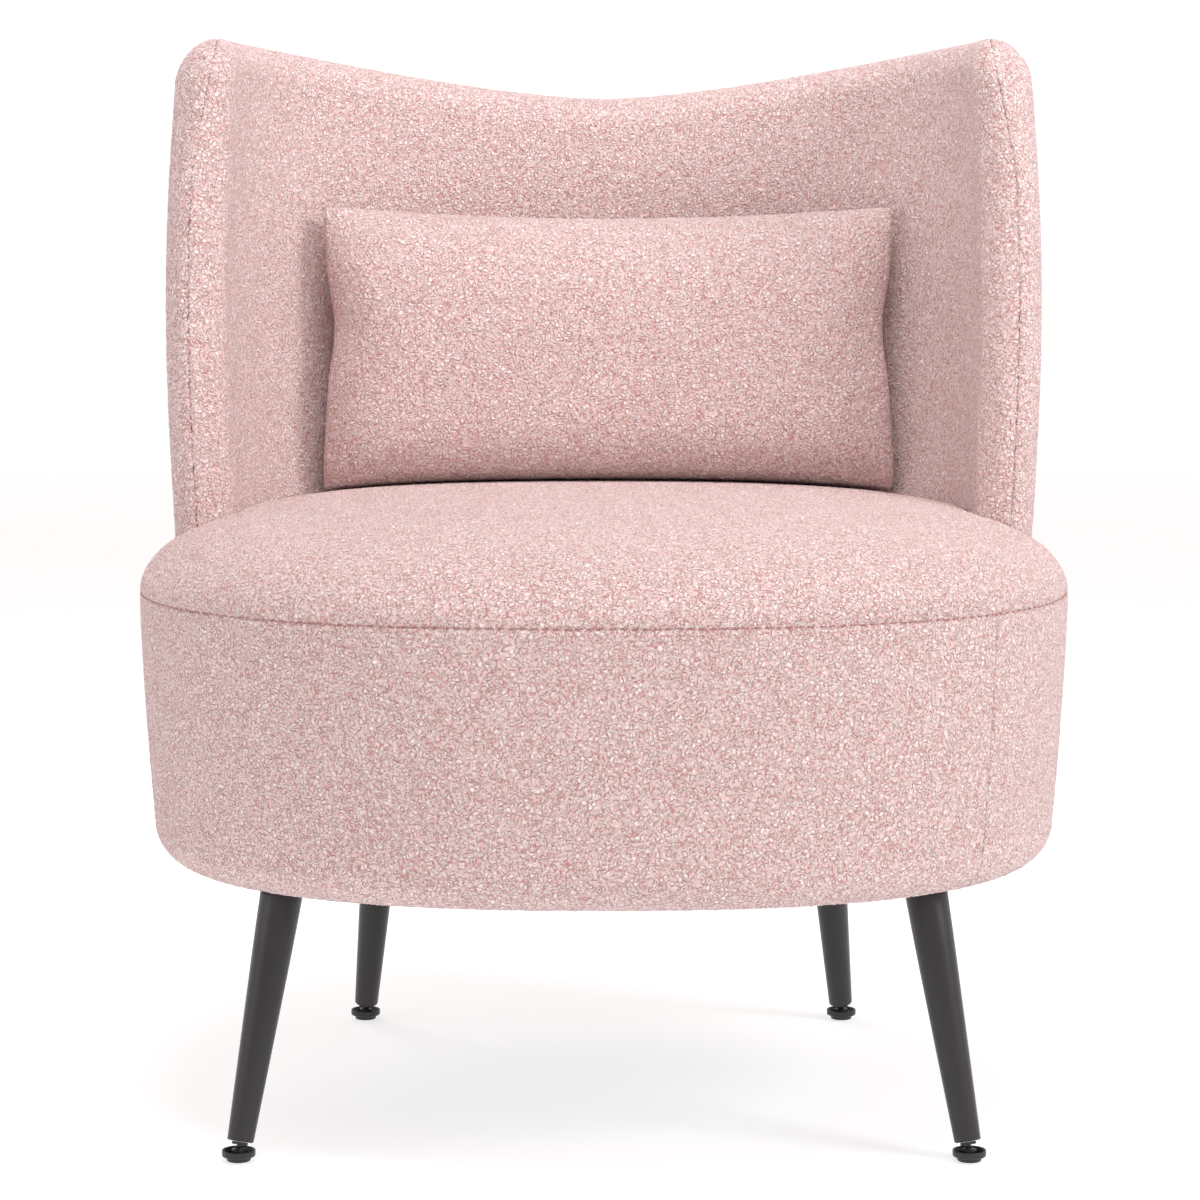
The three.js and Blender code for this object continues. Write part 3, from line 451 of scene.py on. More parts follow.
def wall_point(s, z, out):
    """A point of the back: s along the seam line, z up and out towards the outer face. The plan curve moves
    back with height by the lean, and swells at the sides by a half sine."""
    x, y, nx, ny = (np.interp(s, WALL_S, table) for table in (WALL_X, WALL_Y, WALL_NX, WALL_NY))
    share = np.clip((z - BACK_BULGE_FROM_Z) / (WALL_TOP_Z - BACK_BULGE_FROM_Z), 0, 1)
    bulge = BACK_BULGE * np.sin(np.pi * share) * np.sign(x) * (x / BACK_A) ** 2
    return np.stack([x + nx * out + bulge, y + ny * out + BACK_Y + BACK_LEAN * (z - BACK_LEAN_Z), z], -1)


def wall_top(s):
    """The top edge before its corners are rounded: a sine to a power, flat near the wings' tips."""
    share = np.clip(np.abs(s) / WALL_HALF / WING_FLAT_FROM, 0, 1)
    return WALL_TOP_Z - WING_RISE + WING_RISE * np.sin(share * np.pi / 2) ** WING_RISE_POWER


def wall_sheet(reach):
    """One face of the padded back out to reach from the seam line. Both parameters are lengths over the
    padding: round the edge they are a quarter circle, where the fullness grows from 0 at the seam to 1. By
    a wing's tip the seam wanders towards the inner face."""
    roll = OUTER_ROUND if reach > 0 else EDGE_ROUND
    arc = roll * np.pi / 2
    flat = WALL_HALF - roll
    columns = steps_for(2 * (flat + arc))
    w = np.linspace(0, 2 * (flat + arc), columns + 1)
    edge_w = np.minimum(w, 2 * (flat + arc) - w)
    turn = np.clip(edge_w / roll, 0, np.pi / 2)
    from_front = roll * (1 - np.cos(turn)) + np.maximum(edge_w - arc, 0)
    side = np.where(w < flat + arc, -1.0, 1.0)
    s = side * (WALL_HALF - from_front)
    corner_run = np.maximum(WING_CORNER - from_front, 0)
    drop = WING_CORNER - np.sqrt(np.maximum(WING_CORNER**2 - corner_run**2, 0))
    top = wall_top(s) - drop
    tall = WALL_TOP_Z - WALL_FOOT_Z - roll + arc
    rows = steps_for(tall)
    v = np.linspace(0, 1, rows + 1)[:, None] * (top - WALL_FOOT_Z - roll + arc)
    turn_v = np.clip(v / roll, 0, np.pi / 2)
    z = top - roll * (1 - np.cos(turn_v)) - np.maximum(v - arc, 0)
    s = np.broadcast_to(s, z.shape)
    front = WALL_HALF - np.abs(s)
    below = wall_top(s) - z
    corner = WING_CORNER - np.hypot(WING_CORNER - front, WING_CORNER - below)
    edge = np.where((front < WING_CORNER) & (below < WING_CORNER), corner, np.minimum(front, below))
    full = np.sqrt(np.clip(1 - (1 - np.clip(edge / roll, 0, 1)) ** 2, 0, 1))
    tuck_v = SEAM_TUCK * np.clip(1 - v / SEAM_ROLL, 0, 1) ** 2
    tuck_w = SEAM_TUCK * np.clip(1 - edge_w / SEAM_ROLL, 0, 1) ** 2
    near_tip = np.clip(1 - below / WING_SEAM_LENGTH, 0, 1) * np.clip(1 - front / WING_SEAM_LENGTH, 0, 1)
    seam_out = WING_SEAM_SHIFT * near_tip * (1 - full)
    return s - side * tuck_w, z - tuck_v, reach * full + seam_out


def back_panel_piece(name, reach, nodes):
    """One face of the back as padding: its sheet, and a hidden one near the seam line behind it."""
    s, z, out = wall_sheet(reach)
    sheet = wall_point(s, z, out)
    back = wall_point(s[BEHIND, BEHIND], z[BEHIND, BEHIND], out[BEHIND, BEHIND] * BACK_PADDING_SHARE)
    if reach > 0:
        sheet, back = sheet[:, ::-1], back[:, ::-1]
    return finish_soft(close_form(name, sheet, back), nodes)


def finish_soft(piece, nodes, body="root"):
    """Hides the parts a padded piece stands for, hangs it on the body it moves with, and dresses it in fleece."""
    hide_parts(*nodes)
    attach(piece, body)
    piece.data.materials.append(TEDDY)
    return piece


# ---------------------------------------------------------------- the seat
def square_to_disc(count):
    """A grid over the square -1..1 carried to the unit disc: x = u sqrt(1 - v^2 / 2) and
    y = v sqrt(1 - u^2 / 2). Returns the radius, and the direction's cosine and sine."""
    u = gathered(count, SEAT_GATHER)
    u, v = np.meshgrid(u, u)
    x, y = u * np.sqrt(1 - v**2 / 2), v * np.sqrt(1 - u**2 / 2)
    radius = np.hypot(x, y)
    safe = np.maximum(radius, 1e-9)
    return np.minimum(radius, 1), np.where(radius > 0, x / safe, 1), y / safe


def dome_profile():
    """The dome's radial line: its length so far as a share, the share of the radius, the height
    rise * sqrt(1 - share ^ DOME_POWER) above the seam, and its whole length."""
    share = np.sin(np.linspace(0, np.pi / 2, 4001))
    rise = (CROWN_Z - SEAM_Z) * np.sqrt(np.maximum(1 - share**DOME_POWER, 0))
    radius = (SEAT_A + SEAT_B) / 2
    along = np.concatenate([[0], np.cumsum(np.hypot(np.diff(share) * radius, np.diff(rise)))])
    return along / along[-1], share, rise, along[-1]


def wall_footprint(x, y, z):
    """How far inside the back's outline a point of the seat lies, negative outside it: the smaller distance
    to the outer and the inner face, which close in an ellipse at the wings' front."""
    y = y - BACK_Y - BACK_LEAN * (z - BACK_LEAN_Z)
    share = oval_share(x, y, BACK_A, BACK_B)
    out = (share - 1) * np.hypot(x, y) / np.maximum(share, 0.2)
    skew = out_scale(x, y)
    full = np.sqrt(np.clip(1 - (1 - np.clip(y / EDGE_ROUND, 0, 1)) ** 2, 0, 1))
    inside = np.minimum(BACK_OUTSET * full - out * skew, out * skew + BACK_INSET * full)
    return np.where(y > 0, inside, -np.hypot(np.maximum(-y, 0), np.abs(out)))


def out_scale(x, y):
    """The cosine between a radial line of the seam line's oval and its normal."""
    gx = np.abs(x / BACK_A) ** (PLAN_POWER - 1) / BACK_A
    gy = np.abs(y / BACK_B) ** (PLAN_POWER - 1) / BACK_B
    size = np.maximum(np.hypot(gx, gy) * np.hypot(x, y), 1e-9)
    return (np.abs(x) * gx + np.abs(y) * gy) / size


def seat_top_piece():
    """The seat's dome over its disc, with a crease where the back stands on it and a tuck at its seam."""
    along, share, rise, length = dome_profile()
    count = steps_for((SEAT_A + SEAT_B) * DOME_ROUND)
    radius, c, s = square_to_disc(count)
    at = np.interp(radius, along, share)
    height = np.interp(radius, along, rise)
    reach = (np.abs(c) ** PLAN_POWER + np.abs(s) ** PLAN_POWER) ** (-1 / PLAN_POWER)
    seam = np.clip(1 - (1 - radius) * length / SEAM_ROLL, 0, 1) ** 2
    x = (SEAT_A - SEAM_TUCK * seam) * at * reach * c
    y = (SEAT_B - SEAM_TUCK * seam) * at * reach * s
    z = SEAM_Z + height
    inside = wall_footprint(x, y + SEAT_Y, z)
    crease = np.clip((inside + CREASE_START) / CREASE_WIDTH, 0, 1)
    z = np.where(height > 1 * MM, z - CREASE_DEPTH * crease**3, z)
    sheet = np.stack([x, y + SEAT_Y, z], -1)
    under_x, under_y = x[BEHIND, BEHIND] * CUSHION_UNDER_SHARE, y[BEHIND, BEHIND] * CUSHION_UNDER_SHARE
    back = np.stack([under_x, under_y + SEAT_Y, np.full_like(under_x, SEAM_Z - CUSHION_UNDER)], -1)
    return finish_soft(close_form("seat_cushion", sheet, back), ["seat_top_cover", "seat_foam"])


def band_inset(z):
    """How far the side leans in below the seam: BAND_TAPER * (share of the way down) ^ BAND_TAPER_POWER."""
    low = SEAT_BOTTOM_Z + BOTTOM_ROUND
    return BAND_TAPER * np.clip((SEAM_Z - z) / (SEAM_Z - low), 0, 1) ** BAND_TAPER_POWER


def band_profile():
    """(inset, z) down the side, round the lower edge by a quarter circle and under it to the hem."""
    low = SEAT_BOTTOM_Z + BOTTOM_ROUND
    z = np.linspace(SEAM_Z, low, 60)
    side = np.stack([band_inset(z), z], -1)
    turn = np.linspace(0, np.pi / 2, 30)[1:]
    round_in = BAND_TAPER + BOTTOM_ROUND * (1 - np.cos(turn))
    lower = np.stack([round_in, low - BOTTOM_ROUND * np.sin(turn)], -1)
    hem = np.array([[BAND_TAPER + BOTTOM_ROUND + HEM_REACH, SEAT_BOTTOM_Z]])
    line = np.concatenate([side, lower, hem])
    return even_path(line, steps_for(path_length(line)))


def band_piece(name, start, end, nodes):
    """The side from one sewn seam round to the other: the profile carried round the seat's oval."""
    turn = np.linspace(start, end, 721)
    x, y = oval(SEAT_A, SEAT_B, turn)
    width = path_length(np.stack([x, y], -1))
    # the angle rides along as a third measure too small to lengthen the path
    line = even_path(np.stack([x, y, turn], -1) * [1, 1, 1e-6], steps_for(width))
    angle = line[:, 2] * 1e6
    profile = band_profile()
    w = np.linspace(0, width, len(angle))
    side_tuck = np.clip(1 - np.minimum(w, width - w) / SEAM_ROLL, 0, 1) ** 2
    down = np.linspace(0, path_length(profile), len(profile))
    top_tuck = np.clip(1 - down / SEAM_ROLL, 0, 1) ** 2
    tuck = SEAM_TUCK * np.maximum(side_tuck[None, :], top_tuck[:, None])
    inset = profile[:, :1] + tuck
    x, y = oval(SEAT_A - inset, SEAT_B - inset, angle[None, :])
    z = np.broadcast_to(profile[:, 1:], x.shape)
    sheet = np.stack([x, y + SEAT_Y, z], -1)
    deep = inset[BEHIND, BEHIND]
    bx, by = oval(SEAT_A - deep - BAND_PADDING, SEAT_B - deep - BAND_PADDING, angle[None, BEHIND])
    back = np.stack([bx, by + SEAT_Y, np.maximum(z[BEHIND, BEHIND], SEAT_BOTTOM_Z + BAND_FLOOR)], -1)
    return finish_soft(close_form(name, sheet, back), nodes)


# ---------------------------------------------------------------- the pillow
PILLOW_HALF_WIDTH = 241 * MM
PILLOW_X = 4 * MM
PILLOW_HALF_HEIGHT = 116 * MM
PILLOW_Y = SEAT_Y + 200 * MM
PILLOW_Z = (pillow_low[2] + pillow_high[2]) / 2
PILLOW_FRONT = 58 * MM
PILLOW_REAR = 54 * MM
PILLOW_BOW = 34 * MM
PILLOW_SIDE_PULL = 10 * MM
PILLOW_TOP_PULL = 11 * MM
PILLOW_FOOT_DROP = 7 * MM
PILLOW_SINK = 2 * MM
PILLOW_FRONT_POWERS = (3.4, 2.7)
PILLOW_FOOT_POWER = 7
PILLOW_REAR_POWERS = (2.6, 2.2)
SWELL_FRAMES = 20
PILLOW_START = 0.95  # the share of its full thickness the case has before it is blown up
PILLOW_CELLS = (32, 64)
PILLOW_ROUND = (2.2, 2.25)  # its length over the swell, up and across, per half size
PILLOW_PULL_EVEN = 0.45  # the share of the side pull that spreads over the whole end
PILLOW_PULL_AT = 0.1  # where up the end the rest of it is, and how far it spreads
PILLOW_PULL_SPREAD = 0.3
CORNER_POWER = 9
CORNER_IN = 0.015
CORNER_DOWN = 0.02
PILLOW_REAR_STEP = 2  # fine steps in one step of its rear
PILLOW_REACH = 3 * MM  # the furthest that blowing up may move a point


def pillow_sheet(p, q, side, thick):
    """One side of the pillow over p, q in -1..1: a fullness sqrt((1 - |p|^m) (1 - |q|^n)) out from a plane
    that leans like the back and bows round the sitter. Its ends pull in by a bell round the middle, its top
    edge hangs in a shallow arc, and its lower corners drop over the seat's dome, on which it rests."""
    corner = (np.abs(p) * np.abs(q)) ** CORNER_POWER
    bell = np.exp(-((q - PILLOW_PULL_AT) / PILLOW_PULL_SPREAD) ** 2)
    ends = PILLOW_SIDE_PULL * (PILLOW_PULL_EVEN * (1 - q**2) + (1 - PILLOW_PULL_EVEN) * bell)
    x = PILLOW_HALF_WIDTH * p * (1 - CORNER_IN * corner) - ends * p * np.abs(p) ** 3
    hang = PILLOW_TOP_PULL * np.maximum(q, 0) * (1 - p**2)
    drop = np.maximum(-q, 0) * (PILLOW_SINK + PILLOW_FOOT_DROP * np.abs(p) ** 3)
    up = PILLOW_HALF_HEIGHT * q * (1 - CORNER_DOWN * corner) - hang - drop
    m, n = PILLOW_FRONT_POWERS if side < 0 else PILLOW_REAR_POWERS
    n = np.where(q < 0, PILLOW_FOOT_POWER, n) if side < 0 else n
    full = np.sqrt((1 - np.abs(p) ** m) * (1 - np.abs(q) ** n))
    reach = PILLOW_FRONT if side < 0 else PILLOW_REAR
    bow = PILLOW_BOW * (x / PILLOW_HALF_WIDTH) ** 2
    y = PILLOW_Y - bow + BACK_LEAN * up + side * reach * thick * full
    return np.stack([PILLOW_X + x, y, PILLOW_Z + up], -1)


def blow_up(front, rear, limit):
    """Swells a case of two grids sewn together at the rim with Blender's cloth, and returns the front and
    the rear with no point moved further than limit."""
    rows, columns = front.shape[:2]
    rim = rim_of(rows, columns)
    inner = np.ones(rows * columns, bool)
    inner[rim] = False
    index = np.arange(rows * columns)
    index[inner] = rows * columns + np.arange(inner.sum())
    quads = grid_quads(rows, columns)
    verts = np.concatenate([front.reshape(-1, 3), rear.reshape(-1, 3)[inner]])
    case = make_mesh("case", verts, [quads, index[quads][:, ::-1]])
    cloth = case.modifiers.new("cloth", "CLOTH")
    cloth.settings.use_pressure = True
    cloth.settings.uniform_pressure_force = 4
    cloth.settings.tension_stiffness = 15
    cloth.settings.compression_stiffness = 8
    cloth.settings.bending_stiffness = 0.6
    cloth.settings.effector_weights.gravity = 0
    scene = bpy.context.scene
    for step in range(1, SWELL_FRAMES + 1):
        scene.frame_set(step)
    shape = case.evaluated_get(bpy.context.evaluated_depsgraph_get()).to_mesh()
    moved = np.empty(len(verts) * 3, np.float32)
    shape.vertices.foreach_get("co", moved)
    move = moved.reshape(-1, 3) - verts
    size = np.linalg.norm(move, axis=1, keepdims=True)
    move *= np.minimum(1, limit / np.maximum(size, 1e-9))
    scene.frame_set(1)
    bpy.data.objects.remove(case)
    fore, aft = (even_out(part.reshape(front.shape)) for part in (move[: rows * columns], move[index]))
    seam = (fore + aft) / 2
    seam[1:-1, 1:-1] = 0
    inside = np.zeros((rows, columns, 1))
    inside[1:-1, 1:-1] = 1
    return front + fore * inside + seam, rear + aft * inside + seam


def even_out(field, times=6):
    """A grid of vectors with each one moved halfway to its four neighbours' mean, a few times over."""
    for _ in range(times):
        edge = np.pad(field, ((1, 1), (1, 1), (0, 0)), "edge")
        field = field / 2 + (edge[:-2, 1:-1] + edge[2:, 1:-1] + edge[1:-1, :-2] + edge[1:-1, 2:]) / 8
    return field


def refine(grid, count, axis):
    """A grid made finer along one axis through its own points by Catmull-Rom curves."""
    grid = np.moveaxis(grid, axis, 0)
    last = len(grid) - 1
    at = np.linspace(0, last, count + 1)
    cell = np.minimum(at.astype(int), last - 1)
    t = (at - cell).reshape(-1, *[1] * (grid.ndim - 1))
    a, b, c, d = (grid[np.clip(cell + k, 0, last)] for k in (-1, 0, 1, 2))
    curve = b + 0.5 * t * (c - a + t * (2 * a - 5 * b + 4 * c - d + t * (3 * (b - c) + d - a)))
    return np.moveaxis(curve, 0, axis)


def pillow_piece():
    """The loose pillow: swelled as a sewn case, then refined by smooth curves."""
    rows, columns = PILLOW_CELLS
    p, q = np.meshgrid(gathered(columns, PILLOW_GATHER), -gathered(rows, PILLOW_GATHER))
    front, rear = (pillow_sheet(p, q, side, PILLOW_START) for side in (-1, 1))
    front, rear = blow_up(front, rear, PILLOW_REACH)
    tall = steps_for(PILLOW_ROUND[0] * PILLOW_HALF_HEIGHT)
    wide = steps_for(PILLOW_ROUND[1] * PILLOW_HALF_WIDTH)
    sheet = refine(refine(front, tall, 0), wide, 1)
    back = refine(refine(rear, tall // PILLOW_REAR_STEP, 0), wide // PILLOW_REAR_STEP, 1)
    piece = close_form("lumbar_pillow", sheet, back, PILLOW_REAR_STEP)
    return finish_soft(piece, ["pillow_front_panel", "pillow_rear_panel", "pillow_fill"], "pillow")


# ---------------------------------------------------------------- the legs and their glides
CORNERS = ("front_left", "front_right", "rear_left", "rear_right")
LEG_TOP_RADIUS = 16.5 * MM
LEG_END_RADIUS = 9.9 * MM
LEG_END = 7.1 * MM
LEG_SQUARING = 60 * MM
LEG_HEAD_Z = SEAT_BOTTOM_Z - 1.3 * MM
LEG_WALL = 1.5 * MM
LEG_CAP = 4 * MM
LEG_STUD = 24 * MM
LEG_LIP_ROUND = 1.4 * MM
ROUND_SIDES = 64
STUD_RADIUS = 4.3 * MM  # with the thread's clearance
THREAD_GAP = 0.4 * MM
GLIDE_PLUG = 12 * MM
GLIDE_PAD_RADIUS = 9 * MM
GLIDE_DISH_RADIUS = 12.5 * MM
GLIDE_SOCKET = 3.9 * MM
GLIDE_MOUTH = 1.7 * MM
GLIDE_BOSS_WALL = 1.5 * MM
GLIDE_EDGE_ROUND = 1.1 * MM
PAD_HEIGHT = 2.9 * MM  # heights above the floor
DISH_UNDER = 3.6 * MM
DISH_RIM = 8.4 * MM
DISH_RIM_INSIDE = 8.0 * MM
DISH_FLOOR_EDGE = 5.0 * MM
DISH_FLOOR = 4.6 * MM
DISH_RIM_WALL = 1.5 * MM
DISH_RIM_FOOT = 2.2 * MM


def lathe_rows(profile, columns):
    """Rings of (radius, height) as a grid of unit-circle points times radius."""
    turn = np.arange(columns) * 2 * np.pi / columns
    radius, height = profile[:, :1], profile[:, 1:]
    return np.stack([radius * np.cos(turn), radius * np.sin(turn), height + 0 * turn], -1)


def turned_piece(name, profile, columns, place):
    """A closed turned body: the profile, from its lower centre outside and up to its upper centre, carried
    round the axis. place maps its points into the chair."""
    rings = lathe_rows(profile[1:-1], columns)
    rows = len(rings)
    ends = np.array([[0, 0, profile[0, 1]], [0, 0, profile[-1, 1]]])
    verts = np.concatenate([rings.reshape(-1, 3), ends])
    quads = grid_quads(rows, columns, wrap=True)[:, ::-1]
    ring = np.arange(columns)
    low = np.stack([np.roll(ring, -1), ring, np.full(columns, rows * columns)], -1)
    top = (rows - 1) * columns + ring
    high = np.stack([top, np.roll(top, -1), np.full(columns, rows * columns + 1)], -1)
    return make_mesh(name, place(verts), [quads, low, high])


def fillet(points, radius, steps=5):
    """A (radius, height) line whose inner corners are rounded by quadratic curves of up to radius."""
    out = [points[0]]
    for before, corner, after in zip(points[:-2], points[1:-1], points[2:]):
        back, on = before - corner, after - corner
        back_len, on_len = np.linalg.norm(back), np.linalg.norm(on)
        reach = min(radius, 0.45 * back_len, 0.45 * on_len)
        start, end = corner + back / back_len * reach, corner + on / on_len * reach
        t = np.linspace(0, 1, steps)[:, None]
        out.extend((1 - t) ** 2 * start + 2 * t * (1 - t) * corner + t**2 * end)
    out.append(points[-1])
    return np.array(out)


def screw_axes():
    """Each glide's ball centre and the direction up its leg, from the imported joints."""
    found = {}
    for joint in frame["joints"]:
        for corner in CORNERS:
            if joint["name"] == corner + "_glide_turn":
                found[corner] = np.array(joint["pos_m"]), -np.array(joint["axis"])
    return found


def leg_place(centre, up):
    """Maps points on a leg's own axis into the chair: x across the lean, y beside it and z up the leg. Over
    the last LEG_SQUARING the rings turn level by a smooth step, and past the head the stud stands upright."""
    across = np.cross([0, 0, 1.0], up)
    across /= np.linalg.norm(across)
    beside, level = np.cross(up, across), np.cross([0, 0, 1.0], across)
    length = (LEG_HEAD_Z - centre[2]) / up[2]

    def place(points):
        t = np.clip((points[:, 2:] - length + LEG_SQUARING) / LEG_SQUARING, 0, 1)
        t = t * t * (3 - 2 * t)
        second = beside * (1 - t) + level * t
        second /= np.linalg.norm(second, axis=1, keepdims=True)
        along, past = np.minimum(points[:, 2:], length), np.maximum(points[:, 2:] - length, 0)
        axis_point = centre + along * up + past * np.array([0, 0, 1.0])
        return axis_point + points[:, :1] * across + points[:, 1:2] * second

    return place, length


def leg_piece(corner, centre, up):
    """A leg: a tapered steel tube with a plug for the glide's screw below and a stud welded in above."""
    place, length = leg_place(centre, up)
    squaring = LEG_TOP_RADIUS - (LEG_TOP_RADIUS - LEG_END_RADIUS) * LEG_SQUARING / length
    side = np.linspace([squaring, length - LEG_SQUARING], [LEG_TOP_RADIUS, length], 14)
    inner = [
        [0, length - LEG_CAP],
        [LEG_TOP_RADIUS - LEG_WALL, length - LEG_CAP],
        [LEG_END_RADIUS - LEG_WALL, LEG_END + GLIDE_PLUG],
        [STUD_RADIUS, LEG_END + GLIDE_PLUG],
    ]
    end = np.array([[STUD_RADIUS, LEG_END], [LEG_END_RADIUS, LEG_END], side[0]])
    lip = fillet(end, LEG_LIP_ROUND, 7)
    thread, stud_end = STUD_RADIUS - THREAD_GAP, length + LEG_STUD
    stud = [[thread, length], [thread, stud_end], [0, stud_end]]
    profile = np.concatenate([inner, lip, side[1:], stud])
    piece = turned_piece("leg_tube_" + corner, profile, ROUND_SIDES, place)
    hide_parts("leg_" + corner)
    return finish_hard(piece, "root", BLACK_STEEL)


def glide_piece(corner, centre):
    """A glide's foot: a pad on the floor, a dish with a raised rim and a boss round the ball."""
    floor_z = -centre[2]
    rim, boss = GLIDE_DISH_RADIUS, GLIDE_SOCKET + GLIDE_BOSS_WALL
    line = np.array([
        [0, floor_z],
        [GLIDE_PAD_RADIUS, floor_z],
        [GLIDE_PAD_RADIUS, floor_z + PAD_HEIGHT],
        [rim, floor_z + DISH_UNDER],
        [rim, floor_z + DISH_RIM],
        [rim - DISH_RIM_WALL, floor_z + DISH_RIM_INSIDE],
        [rim - DISH_RIM_FOOT, floor_z + DISH_FLOOR_EDGE],
        [boss, floor_z + DISH_FLOOR],
        [boss, GLIDE_MOUTH],
        [math.sqrt(GLIDE_SOCKET**2 - GLIDE_MOUTH**2), GLIDE_MOUTH],
    ])
    turn = np.radians(np.linspace(65, -90, 18))
    socket = GLIDE_SOCKET * np.stack([np.cos(turn), np.sin(turn)], -1)
    line = np.concatenate([fillet(line, GLIDE_EDGE_ROUND), socket])
    piece = turned_piece("glide_dish_" + corner, line, ROUND_SIDES, lambda points: points + centre)
    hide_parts("glide_foot_" + corner)
    return finish_hard(piece, "foot_" + corner, GLIDE_PLASTIC)


def finish_hard(piece, body, material):
    """Hangs a hard piece on the body it moves with, and gives it its material."""
    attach(piece, body)
    piece.data.materials.append(material)
    return piece


# ---------------------------------------------------------------- underneath and sewn on
DUST_SAG = 0.5 * MM
DUST_RIPPLE = 0.25 * MM
DUST_THICKNESS = 0.6 * MM
STAPLES = 48
STAPLE_MARGIN = 8 * MM
STAPLE_WIRE = 0.4 * MM
STAPLE_ALONG = np.array([-5, -4.6, -2, 2, 4.6, 5]) * MM
STAPLE_LIFT = np.array([0.7, 0, -0.35, -0.35, 0, 0.7]) * MM
STAPLE_CROWN = 0.3 * MM  # below the cloth


def dust_cloth_piece():
    """The black cloth stapled under the seat: a closed oval sheet that sags by DUST_SAG and ripples between
    its staples."""
    low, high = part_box("dust_cover")
    a, b = (high[0] - low[0]) / 2, (high[1] - low[1]) / 2
    turn = np.linspace(0, 360, 257)[:-1]
    share = np.linspace(0, 1, 49)[:, None]
    x, y = oval(a, b, turn[None, :])
    x, y = x * share, y * share + (high[1] + low[1]) / 2
    ripple = DUST_RIPPLE * np.sin(np.radians(turn) * STAPLES / 2) * share**6
    sag = DUST_SAG * np.sin(np.pi * share) + ripple
    lower = np.stack([x, y, low[2] - sag], -1)
    upper = np.stack([x, y, low[2] - sag + DUST_THICKNESS], -1)
    rows, columns = lower.shape[:2]
    under = grid_quads(rows, columns, wrap=True)[:, ::-1]
    count = rows * columns
    over = grid_quads(rows, columns, count, wrap=True)
    edge = (rows - 1) * columns + np.arange(columns)
    rim = np.stack([edge, np.roll(edge, -1), np.roll(edge, -1) + count, edge + count], -1)
    verts = np.concatenate([lower.reshape(-1, 3), upper.reshape(-1, 3)])
    piece = make_mesh("dust_cloth", verts, [under, over, rim])
    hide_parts("dust_cover")
    return finish_hard(piece, "root", DUST_CLOTH)


def wire_piece(name, paths, radius, sides=6):
    """Short closed wires in one mesh. paths is (wires, points, 3): each point carries a ring of radius
    across the path, and the ends close on a centre point."""
    wires, points = paths.shape[:2]
    along = np.gradient(paths, axis=1)
    along /= np.maximum(np.linalg.norm(along, axis=-1, keepdims=True), 1e-12)
    helper = np.where(np.abs(along[..., 2:]) > 0.8, np.array([1.0, 0, 0]), np.array([0, 0, 1.0]))
    first = np.cross(along, helper)
    first /= np.linalg.norm(first, axis=-1, keepdims=True)
    second = np.cross(along, first)
    turn = np.arange(sides) * 2 * np.pi / sides
    ring = first[..., None, :] * np.cos(turn)[:, None] + second[..., None, :] * np.sin(turn)[:, None]
    tube = (paths[:, :, None] + radius * ring).reshape(wires, points * sides, 3)
    verts = np.concatenate([tube, paths[:, :1], paths[:, -1:]], axis=1)
    per_wire = points * sides + 2
    one = grid_quads(points, sides, wrap=True)
    step = np.arange(sides)
    last = (points - 1) * sides
    start = np.stack([step, np.roll(step, -1), np.full(sides, points * sides)], -1)
    end = np.stack([last + np.roll(step, -1), last + step, np.full(sides, points * sides + 1)], -1)
    offset = (np.arange(wires) * per_wire)[:, None, None]
    faces = [(kind[None] + offset).reshape(-1, kind.shape[1]) for kind in (one, start, end)]
    return make_mesh(name, verts.reshape(-1, 3), faces)


def seam_stitches_piece():
    """The thread that sews the dome to the side: a short bowed run about every STITCH_STEP round the oval."""
    turn = np.linspace(0, 360, 7201)
    x, y = oval(SEAT_A, SEAT_B, turn)
    along = np.concatenate([[0], np.cumsum(np.hypot(np.diff(x), np.diff(y)))])
    count = round(along[-1] / STITCH_STEP)
    t = np.linspace(-1, 1, 5)
    place = (np.arange(count)[:, None] + 0.5 + STITCH_SHARE / 2 * t) * along[-1] / count
    inset = STITCH_INSET + STITCH_BOW * t**2
    x, y = oval(SEAT_A - inset, SEAT_B - inset, np.interp(place, along, turn))
    paths = np.stack([x, y + SEAT_Y, np.full_like(x, SEAM_Z)], -1)
    piece = wire_piece("seam_stitches", paths, STITCH_RADIUS)
    return finish_hard(piece, "root", SEWING_THREAD)


def staples_piece():
    """Flat crowns of the staples round the dust cloth, lying along its edge."""
    low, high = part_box("dust_cover")
    a, b = (high[0] - low[0]) / 2 - STAPLE_MARGIN, (high[1] - low[1]) / 2 - STAPLE_MARGIN
    x, y = oval(a, b, np.linspace(0, 360, 961))
    line = even_path(np.stack([x, y], -1), STAPLES)[:-1]
    tangent = np.roll(line, -1, axis=0) - np.roll(line, 1, axis=0)
    tangent /= np.linalg.norm(tangent, axis=1, keepdims=True)
    reach = STAPLE_ALONG[None, :, None]
    flat = line[:, None] + tangent[:, None] * reach + [0, (high[1] + low[1]) / 2]
    z = np.broadcast_to(low[2] - STAPLE_CROWN + STAPLE_LIFT, flat.shape[:2])
    piece = wire_piece("dust_cloth_staples", np.concatenate([flat, z[..., None]], -1), STAPLE_WIRE)
    return finish_hard(piece, "root", ZINC_STEEL)


# ---------------------------------------------------------------- the chair
seat_top_piece()
band_piece("seat_front_side", BAND_SEAM_LEFT, BAND_SEAM_RIGHT, ["seat_front_band", "border_foam"])
band_piece("seat_rear_side", BAND_SEAM_RIGHT - 360, BAND_SEAM_LEFT, ["seat_rear_band"])
back_panel_piece("back_inner_pad", -BACK_INSET, ["back_inner_cover", "back_foam"])
back_panel_piece("back_outer_pad", BACK_OUTSET, ["back_outer_cover"])
pillow_piece()
for corner, (centre, up) in screw_axes().items():
    leg_piece(corner, centre, up)
    glide_piece(corner, centre)
seam_stitches_piece()
dust_cloth_piece()
staples_piece()

